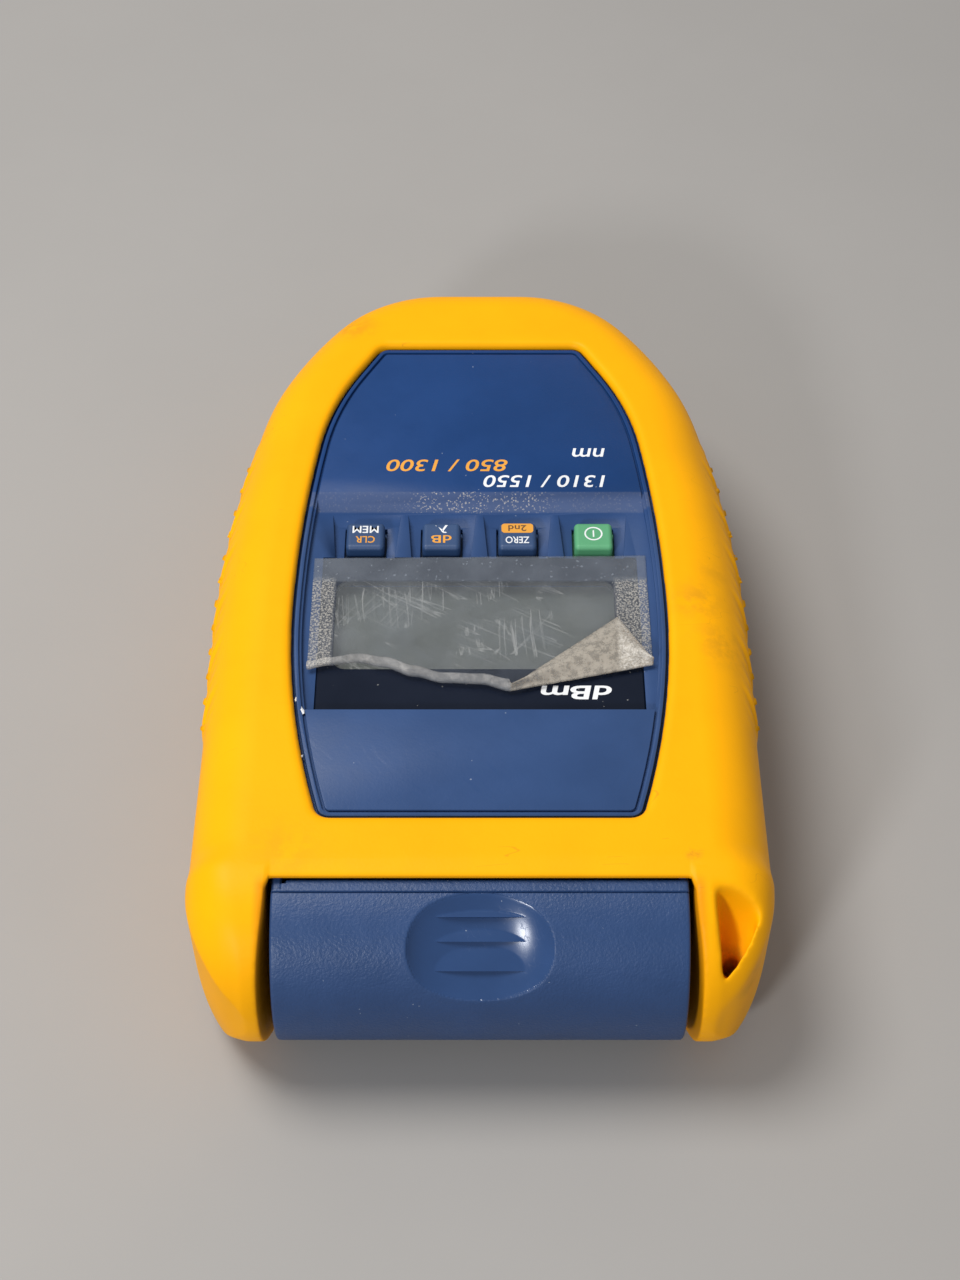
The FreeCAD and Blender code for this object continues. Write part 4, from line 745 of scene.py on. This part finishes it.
bump(shader, speckle, 0.35, 0.0001)
wear(peeling_film, film)
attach(peeling_film, "meter")
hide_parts("screen_film")

# ---- Pivots and rolling cover ------------------------------------------
# A curved shutter of blue ABS rolls back on two steel pins to uncover the
# port. A polished thumb recess with three ledges is moulded in its front.

for name, finish in (("left_pivot_pin", steel), ("right_pivot_pin", steel), ("pivot_washers", grey_rubber)):
    wear(nodes[name], finish)

low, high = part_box("right_pivot_pin")
pivot_y, pivot_z = (low.y + high.y) / 2, (low.z + high.z) / 2
low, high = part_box("port_cover")

# The cover's own sizes are in millimetres and degrees round its pins
roll, roll_half = (pivot_y - low.y) * 1000, high.x * 1000
roll_start, roll_end, roll_wall, edge_round = 3.0, 157.0, 1.8, 0.5
lip_end, lip_groove, lip_groove_half, corner_chip, chip_deep = 10.0, 0.4, 0.75, 2.8, 1.3
bowl_turn, bowl_rise, bowl_deep, bowl_wide, bowl_long, bowl_wall, brim = 40.5, 1.0, 4.0, 11.67, 13.6, 1.6, 0.3
ledges, ledge_half = ((23.5, 4.0), (37.5, 7.5), (54.5, 14.0)), 6.9


def steps(first, last, step):
    """Even steps from one value to another, both of them included."""
    count = max(1, round((last - first) / step))
    return [first + (last - first) * i / count for i in range(count + 1)]


def bowl_floor(x, turn):
    """Distance of the recess floor from the pivot, at a place on the cover, or None beside it."""
    across, off = math.cos(math.radians(turn - bowl_turn)), math.sin(math.radians(turn - bowl_turn))
    middle = roll + bowl_rise
    a = (across / bowl_deep) ** 2 + (off / bowl_long) ** 2
    b = 2 * middle * across / bowl_deep ** 2
    c = (middle / bowl_deep) ** 2 - 1 + (x / bowl_wide) ** 2
    inside = b * b - 4 * a * c
    return (b - math.sqrt(inside)) / (2 * a) if inside > 0 and across > 0 else None


def eased(distance, radius):
    """How far a rounded edge falls back at a distance from its end."""
    return radius - math.sqrt(radius ** 2 - (radius - distance) ** 2) if distance < radius else 0.0


def cover_front(x, turn):
    """Distance of the cover's outside from the pivot, and whether it is inside the recess."""
    reach = roll - eased(roll_half - abs(x), edge_round)
    reach -= eased(math.radians(turn - roll_start) * roll, edge_round)
    reach -= eased(math.radians(roll_end - turn) * roll, edge_round)
    reach -= lip_groove * (1 - min(1.0, abs(turn - lip_end - lip_groove_half) / lip_groove_half))
    if turn < lip_end - (lip_end - roll_start) * (x + roll_half) / corner_chip:
        reach -= chip_deep
    floor_at = bowl_floor(x, turn)
    if floor_at is None or floor_at > roll + brim:
        return reach, 0.0
    for edge, back in ledges:
        if edge - back <= turn <= edge:
            first, second = bowl_floor(0.0, edge - back), bowl_floor(ledge_half, edge)
            floor_at = max(floor_at, first + (second - first) * (turn - edge + back) / back)
    blend = max(brim - abs(reach - floor_at), 0.0) / brim
    return min(reach, floor_at) - blend ** 2 * brim / 4, 1.0 if floor_at < roll else 0.0


# Rows and columns of the mesh, close together in the recess and at the rounded edges
fine_half = 12.4
spans = steps(-roll_half, -fine_half, 1.6) + steps(-fine_half, fine_half, 0.25)[1:]
spans += steps(fine_half, roll_half, 1.6)[1:]
spans += [side * (roll_half - back) for side in (-1, 1) for back in (0.06, 0.18, 0.35, 0.55, 2.8, 2.4)]
turns_round = steps(roll_start, 9.5, 0.6) + steps(9.5, 12.5, 0.25)[1:] + steps(12.5, 70.5, 0.75)[1:]
turns_round += steps(70.5, roll_end, 2.0)[1:] + [edge + step for edge, back in ledges for step in (0.0, 0.12)]
turns_round += [roll_start + 0.15, roll_start + 0.4, roll_end - 0.15, roll_end - 0.4]
spans, turns_round = sorted(set(spans)), sorted(set(turns_round))


def on_roll(x, turn, reach):
    """A point of the cover, in metres."""
    lean = math.radians(turn)
    return x / 1000, pivot_y - reach * math.sin(lean) / 1000, pivot_z + reach * math.cos(lean) / 1000


shell_mesh = bmesh.new()
polish = shell_mesh.verts.layers.float.new("polish")
outside, inside = [], []
for turn in turns_round:
    outer_row, inner_row = [], []
    for x in spans:
        reach, smooth = cover_front(x, turn)
        corner = shell_mesh.verts.new(on_roll(x, turn, reach))
        corner[polish] = smooth
        outer_row.append(corner)
        floor_at = bowl_floor(x, turn)
        behind = roll - roll_wall if floor_at is None else min(roll - roll_wall, floor_at - bowl_wall)
        inner_row.append(shell_mesh.verts.new(on_roll(x, turn, behind)))
    outside.append(outer_row)
    inside.append(inner_row)
for layer in (outside, inside):
    bridged(shell_mesh, layer, closed=False)
for end in (0, -1):
    bridged(shell_mesh, [outside[end], inside[end]], closed=False)
    bridged(shell_mesh, [[row[end] for row in outside], [row[end] for row in inside]], closed=False)

# The cheeks: round discs with hubs, bored for the pins
cheek, hub, bore, cheek_thick, hub_long, cheek_sides = roll - 0.35, 4.2, 2.05, 1.6, 2.2, 96
for side in (-1, 1):
    outer, inner, deep = roll_half - 0.04, roll_half - cheek_thick, roll_half - cheek_thick - hub_long
    profile = [(bore, outer), (cheek - 0.4, outer), (cheek, outer - 0.4), (cheek, inner + 0.3),
               (cheek - 0.3, inner), (hub + 0.3, inner), (hub, inner - 0.3), (hub, deep), (bore, deep)]
    turns = [360 / cheek_sides * i for i in range(cheek_sides)]
    rings = [[shell_mesh.verts.new(on_roll(side * x, turn, reach)) for turn in turns] for reach, x in profile]
    bridged(shell_mesh, rings + rings[:1])
outwards(shell_mesh)
rolling_cover = placed("rolling_cover", shell_mesh)
rolling_cover.data.shade_smooth()
rolling_cover.data.set_sharp_from_angle(angle=math.radians(38))

cover_blue, tree, shader = new_finish("cover_blue", Specular_IOR_Level=0.32)
tone = use(tree, cloud, colour=(0.022, 0.055, 0.150, 1), amount=0.12, scale=90.0)
lint = specked(tree, 1100.0, 0.12, 0.02)
smooth = put(tree, "ShaderNodeAttribute", attribute_name="polish").outputs["Fac"]
rubbed = scratched(tree, (1.2, 900.0, 0.03, 0.5))
gloss = minus(plus(0.36, times(tone["Mask"], 0.08)), times(smooth, 0.21))
feed(shader, Base_Color=blended(times(lint, 0.6), tone["Colour"], (0.3, 0.34, 0.42, 1)),
     Roughness=plus(gloss, times(rubbed, 0.08)))
grain = use(tree, spark, scale=2300.0)["Height"]
bump(shader, times(grain, minus(1.0, smooth)), 0.8, 0.00016)
wear(rolling_cover, cover_blue)
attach(rolling_cover, "cover")
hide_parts("port_cover")

# ---- Holster -----------------------------------------------------------
# One thick moulding of yellow rubber, stretched over the case from the far
# end. It has grip ridges at its sides and a scoop with an eye for a strap.

low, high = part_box("holster")
near_end, far_end, boot_top = low.y, high.y, high.z
half_wide, flank_round, shoulder_round, corner_round = 0.0462, 0.240, 0.075, 0.026
shoulder_turn, corner_turn, ear_turn = math.radians(10.3), math.radians(37.0), math.radians(37.0)
flank_y = (far_end - corner_round - (shoulder_round - corner_round) * math.sin(corner_turn)
           - (flank_round - shoulder_round) * math.sin(shoulder_turn))
shoulder_x = half_wide - flank_round + (flank_round - shoulder_round) * math.cos(shoulder_turn)
shoulder_y = flank_y + (flank_round - shoulder_round) * math.sin(shoulder_turn)
ear_bends = (((0.0232, near_end + 0.01782), 0.023), ((0.03358, near_end + 0.010), 0.010))
scoop_middle, scoop_half, scoop_top, scoop_deep = (0.0362, -0.0722), (0.0104, 0.0090), 0.040, 0.0180
scoop_lean, rim_front, rim_side = 0.06, 0.0020, 0.0021
eye_round, eye_foot, eye_mouth = 0.0015, Vector((0.0405, -0.0645, -0.002)), Vector((0.0390, -0.0702, 0.0270))


def half_width(y):
    """Half width of the holster beside each place along it."""
    flank = half_wide - flank_round + np.sqrt(flank_round ** 2 - np.clip(y - flank_y, 0, 0.1) ** 2)
    shoulder = shoulder_x + np.sqrt(np.clip(shoulder_round ** 2 - (y - shoulder_y) ** 2, 0, None))
    return np.where(y > flank_y + flank_round * math.sin(shoulder_turn), shoulder, flank)


def eased_step(value, low, high):
    """0 below one value and 1 above another, with a smooth step between them."""
    share = np.clip((value - low) / (high - low), 0, 1)
    return share * share * (3 - 2 * share)


def settled(piece):
    """Gives an object the mesh that its modifiers make, and takes the modifiers off."""
    mesh = evaluated(piece)
    piece.modifiers.clear()
    old, piece.data = piece.data, mesh
    bpy.data.meshes.remove(old)
    return mesh


def ear_fall(x, z):
    """How far the ears' outer corners fall back from the port end."""
    top_fall, foot_fall = 0.0004, 0.0042
    return eased_step(x, 0.0345, 0.0430) * (top_fall + foot_fall * np.clip(1 - z / (boot_top / 2), 0, 1) ** 2)


def in_scoop(x, y, z):
    """Whether a place is inside the scoop of the right ear."""
    if x < scoop_middle[0] + (boot_top - z) * scoop_lean:
        return False
    across, along_ear = (x - scoop_middle[0]) / scoop_half[0], (y - scoop_middle[1]) / scoop_half[1]
    down = max(0.0, scoop_top - z) / scoop_deep
    if across ** 2 + along_ear ** 2 + down ** 2 > 1:
        return False
    for (middle_x, middle_y), bend in ear_bends:
        middle_y += float(ear_fall(x, z))
        turn = math.atan2(y - middle_y, x - middle_x)
        inner = bend > 0.02
        if (turn > -ear_turn) == inner and turn < 0:
            return math.hypot(x - middle_x, y - middle_y) < bend - rim_front
    return x < half_wide - rim_side


# The scoop as a solid of stacked rings, each found outwards from one leaning middle line
scoop = bmesh.new()
rings, ring_corners, levels, level_rise, halvings = [], 72, 30, 0.0008, 18
scoop_foot, line_foot, line_lean, farthest = 0.0226, (0.0394, -0.0702, 0.0158), 0.05, 0.012
for level in range(levels):
    z = scoop_foot + level_rise * level
    middle = line_foot[0] - (z - line_foot[2]) * line_lean, line_foot[1]
    ring = []
    for step in range(ring_corners):
        turn = 2 * math.pi * step / ring_corners
        inside_to, outside_to = 0.0, farthest
        for _ in range(halvings):
            reach = (inside_to + outside_to) / 2
            if in_scoop(middle[0] + reach * math.cos(turn), middle[1] + reach * math.sin(turn), z):
                inside_to = reach
            else:
                outside_to = reach
        ring.append(scoop.verts.new((middle[0] + inside_to * math.cos(turn),
                                     middle[1] + inside_to * math.sin(turn), z)))
    rings.append(ring)
bridged(scoop, rings)
scoop.faces.new(rings[0][::-1])
scoop.faces.new(rings[-1])
outwards(scoop)
scoop_tool = placed("scoop_tool", scoop)

# The eye runs from the scoop down to the back
eye = bmesh.new()
rings = []
turns = [2 * math.pi * step / 32 for step in range(32)]
spokes = [Vector((eye_round * math.cos(turn), eye_round * math.sin(turn), 0)) for turn in turns]
for end in (eye_foot, eye_mouth):
    rings.append([eye.verts.new(end + spoke) for spoke in spokes])
bridged(eye, rings)
eye.faces.new(rings[0][::-1])
eye.faces.new(rings[1])
eye_tool = placed("eye_tool", eye)

# The boot itself: its plain left half and the same half mirrored, then cut
rough = bmesh.new()
rough.from_mesh(nodes["holster"].data)
bmesh.ops.remove_doubles(rough, verts=rough.verts, dist=2e-6)
bmesh.ops.bisect_plane(rough, geom=rough.verts[:] + rough.edges[:] + rough.faces[:], dist=1e-7,
                       plane_co=(0, 0, 0), plane_no=(1, 0, 0), clear_outer=True)
twin = bmesh.ops.duplicate(rough, geom=rough.verts[:] + rough.edges[:] + rough.faces[:])["geom"]
for part in twin:
    if isinstance(part, bmesh.types.BMVert):
        part.co.x = -part.co.x
bmesh.ops.reverse_faces(rough, faces=[part for part in twin if isinstance(part, bmesh.types.BMFace)])
bmesh.ops.remove_doubles(rough, verts=rough.verts, dist=5e-6)
rubber_boot = placed("rubber_boot", rough)
for tool in (scoop_tool, eye_tool):
    hollow = rubber_boot.modifiers.new(tool.name, "BOOLEAN")
    hollow.operation, hollow.solver, hollow.object = "DIFFERENCE", "EXACT", tool
grid = rubber_boot.modifiers.new("grid", "REMESH")
grid.mode, grid.voxel_size = "VOXEL", 0.00042
ease = rubber_boot.modifiers.new("ease", "SMOOTH")
ease.factor, ease.iterations = 0.5, 5
data = settled(rubber_boot)
bpy.data.objects.remove(scoop_tool)
bpy.data.objects.remove(eye_tool)

place = np.empty(len(data.vertices) * 3)
data.vertices.foreach_get("co", place)
place = place.reshape(-1, 3)
x, y, z = np.abs(place[:, 0]), place[:, 1], place[:, 2]
side = np.sign(place[:, 0])
wide = half_width(y)

# Flanks: faced off, so that their ridges can be drawn afresh
ridge_deep, flank_near, flank_far, flank_low, flank_high = 0.0006, -0.035, 0.0395, 0.0062, 0.0298
beside = (x > wide - ridge_deep) & (y > flank_near) & (y < flank_far) & (z > flank_low) & (z < flank_high)
x[beside] = wide[beside]

# A fuller rounding from the flanks over to the front
old_round, full_round, skin_deep = 0.008, 0.0105, 0.0005
old_x, old_z = np.clip(x - (wide - old_round), 0, None), np.clip(z - (boot_top - old_round), 0, None)
on_skin = np.abs(np.hypot(old_x, old_z) - old_round) < skin_deep
dx, dz = x - (wide - full_round), z - (boot_top - full_round)
reach = np.maximum(np.hypot(dx, dz), 1e-6)
share = eased_step(y, near_end + 0.017, near_end + 0.023) * (1 - eased_step(y, 0.030, 0.050))
pull = np.where(on_skin & (dx > 0) & (dz > 0), 1 + (full_round / reach - 1) * share, 1.0)
x, z = wide - full_round + dx * pull, boot_top - full_round + dz * pull

# Ears: pointed, seen from above, and splayed a little on the sides that face the bay
fall = ear_fall(x, z)
for (middle_x, middle_y), bend in ear_bends:
    middle_y = middle_y + fall
    turn = np.arctan2(y - middle_y, x - middle_x)
    sector = (turn < 0) & ((turn > -ear_turn) if bend > 0.02 else (turn <= -ear_turn) & (turn > -math.pi / 2))
    reach = np.hypot(x - middle_x, y - middle_y)
    pull = np.where(sector & (reach > bend), bend / np.maximum(reach, 1e-6), 1.0)
    x, y = middle_x + (x - middle_x) * pull, middle_y + (y - middle_y) * pull
bay_side, ear_root, splay_most = 0.0325, -0.0625, 0.0013
facing = (x > bay_side) & (y < ear_root)
splay = splay_most * eased_step(-y, 0.0635, 0.0775) * (1 - eased_step(x, 0.0342, 0.0385))
x = np.where(facing, x + splay, x)

# The bar reaches a little less far over the cover
bar_half, bar_far, bar_near, bar_low, bar_back = 0.0328, -0.0565, -0.0625, 0.030, 0.0012
under = (x < bar_half) & (y < bar_far) & (z > bar_low)
y = np.where(under, y + bar_back * eased_step(-y, -bar_far, -bar_near), y)

# Ridges: scales that lean back from the front, their steps towards the port
ridge_pitch, ridge_lean, first_ridge, fine_rise, scale_rise = 0.00355, 0.9, (0.038, 0.030), 0.00026, 0.00036
steps_in = (first_ridge[0] - y + ridge_lean * (z - first_ridge[1])) / ridge_pitch
part, long_part = steps_in % 1.0, (steps_in / 3) % 1.0
fine = np.where(part < 0.84, (part / 0.84) ** 1.4, (1 - part) / 0.16)
swell = np.where(long_part < 0.93, (long_part / 0.93) ** 1.5, (1 - long_part) / 0.07)
fade = eased_step(y, -0.032, -0.026) * (1 - eased_step(y, 0.036, 0.038))
fade *= (1 - eased_step(z, 0.0315, 0.0350)) * eased_step(z, 0.003, 0.006)
dx, dz = np.clip(x - (wide - full_round), 0, None), np.clip(z - (boot_top - full_round), 0, None)
skin = (np.abs(np.hypot(dx, dz) - full_round) < skin_deep) & (dx > 0)
x = np.where(skin, x + fade * (fine_rise * fine + scale_rise * swell), x)

place[:, 0], place[:, 1], place[:, 2] = side * x, y, z
data.vertices.foreach_set("co", place.ravel())
data.update()
rim = rubber_boot.vertex_groups.new(name="scoop_rim")
rim.add(np.flatnonzero((place[:, 0] > 0.0358) & (y < -0.0600) & (z > 0.0200)).tolist(), 1.0, "REPLACE")
rim_ease = rubber_boot.modifiers.new("rim_ease", "SMOOTH")
rim_ease.factor, rim_ease.iterations, rim_ease.vertex_group = 0.5, 30, rim.name
ease = rubber_boot.modifiers.new("ease", "SMOOTH")
ease.factor, ease.iterations = 0.3, 1
most_triangles = 175000
thin_out = rubber_boot.modifiers.new("thin_out", "DECIMATE")
thin_out.ratio = most_triangles / (2 * len(data.polygons))
data = settled(rubber_boot)
data.shade_smooth()


def spot(tree, centre, radius, soft):
    """1 inside a round place on the object, fading out over its soft edge."""
    far = put(tree, "ShaderNodeVectorMath", {0: places(tree), 1: centre}, operation="DISTANCE")
    return minus(1.0, ramp(far.outputs["Value"], radius - soft, radius + soft))


yellow_rubber, tree, shader = new_finish("yellow_rubber", Specular_IOR_Level=0.09)
where = axes(tree)
tone = use(tree, cloud, colour=(0.94, 0.408, 0.001, 1), amount=0.07, scale=45.0)
stains = [times(spot(tree, centre, radius, soft), depth) for centre, radius, soft, depth in (
    ((0.0392, -0.0702, 0.0240), 0.0026, 0.0030, 0.8), ((-0.0066, 0.0735, 0.034), 0.002, 0.002, 0.4),
    ((-0.0240, 0.0640, 0.037), 0.003, 0.003, 0.3), ((0.0370, -0.0060, 0.037), 0.003, 0.004, 0.3),
    ((0.0395, 0.0010, 0.035), 0.002, 0.003, 0.3), ((0.0400, -0.0150, 0.035), 0.004, 0.004, 0.25),
    ((-0.0300, -0.0570, 0.038), 0.004, 0.005, 0.14), ((0.0330, -0.0580, 0.038), 0.001, 0.001, 0.5))]
stain = times(reduce(most, stains), ramp(noisy(tree, 260.0, 4.0, 0.7), 0.36, 0.62))
# Painted shade: the rubber between the ears, round the bay, is darkened towards a deep orange
bay_shade = times(ramp(where["Y"], -0.0610, -0.0640), minus(1.0, ramp(size_of(where["X"]), 0.0336, 0.0352)))
deep = blended(times(bay_shade, 0.55), tone["Colour"], (0.62, 0.20, 0.006, 1))
shade = blended(stain, deep, (0.22, 0.095, 0.02, 1))
hair = scratched(tree, (-0.1, 260.0, 0.004, 0.38))
matt = plus(0.42, times(tone["Mask"], 0.08))
feed(shader, Base_Color=blended(times(hair, 0.35), shade, (0.45, 0.17, 0.01, 1)),
     Roughness=plus(matt, times(stain, 0.2)))
bump(shader, use(tree, spark, scale=1500.0)["Height"], 0.22, 0.0001)
wear(rubber_boot, yellow_rubber)
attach(rubber_boot, "meter")
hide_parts("holster")

# ---- Floor, light and camera -------------------------------------------
# A plain pale floor, one broad soft lamp above the far left, a weaker fill,
# and an even sky. The camera looks down from beyond the port end.

floor_mesh = bpy.data.meshes.new("floor")
floor_mesh.from_pydata([(-3, -3, 0), (3, -3, 0), (3, 3, 0), (-3, 3, 0)], [], [(0, 1, 2, 3)])
floor = placed("floor", floor_mesh)
pale, tree, shader = new_finish("pale_floor", Roughness=0.8)
tone = use(tree, cloud, colour=(0.34, 0.325, 0.31, 1), amount=0.04, scale=8.0)
feed(shader, Base_Color=tone["Colour"])
wear(floor, pale)

sky = bpy.data.worlds.new("sky")
sky.use_nodes = True
sky.node_tree.nodes["Background"].inputs["Color"].default_value = (0.95, 0.97, 1.0, 1)
sky.node_tree.nodes["Background"].inputs["Strength"].default_value = 0.40
bpy.context.scene.world = sky


def soft_lamp(name, place, aim, size, watts, colour):
    """A round area lamp turned to a point."""
    lamp = bpy.data.lights.new(name, "AREA")
    lamp.shape, lamp.size, lamp.energy, lamp.color = "DISK", size, watts, colour
    holder = bpy.data.objects.new(name, lamp)
    holder.location = place
    holder.rotation_euler = (Vector(aim) - Vector(place)).to_track_quat("-Z", "Y").to_euler()
    bpy.context.scene.collection.objects.link(holder)


soft_lamp("window_light", (-0.34, 0.12, 0.84), (0, 0, 0), 0.45, 6.6, (1.0, 0.98, 0.95))
soft_lamp("room_fill", (-0.34, -0.66, 0.42), (0, 0, 0), 0.12, 2.9, (0.95, 0.97, 1.0))

lens = bpy.data.cameras.new("camera")
lens.lens, lens.sensor_width, lens.clip_start = 57.7, 36.0, 0.01
camera = bpy.data.objects.new("camera", lens)
target, reach, rise = Vector((0, 0, 0.020)), 0.368, math.radians(50)
camera.location = target + reach * Vector((0, -math.cos(rise), math.sin(rise)))
camera.rotation_euler = (target - camera.location).to_track_quat("-Z", "Y").to_euler()
bpy.context.scene.collection.objects.link(camera)
bpy.context.scene.camera = camera
bpy.context.scene.view_settings.view_transform = "Standard"
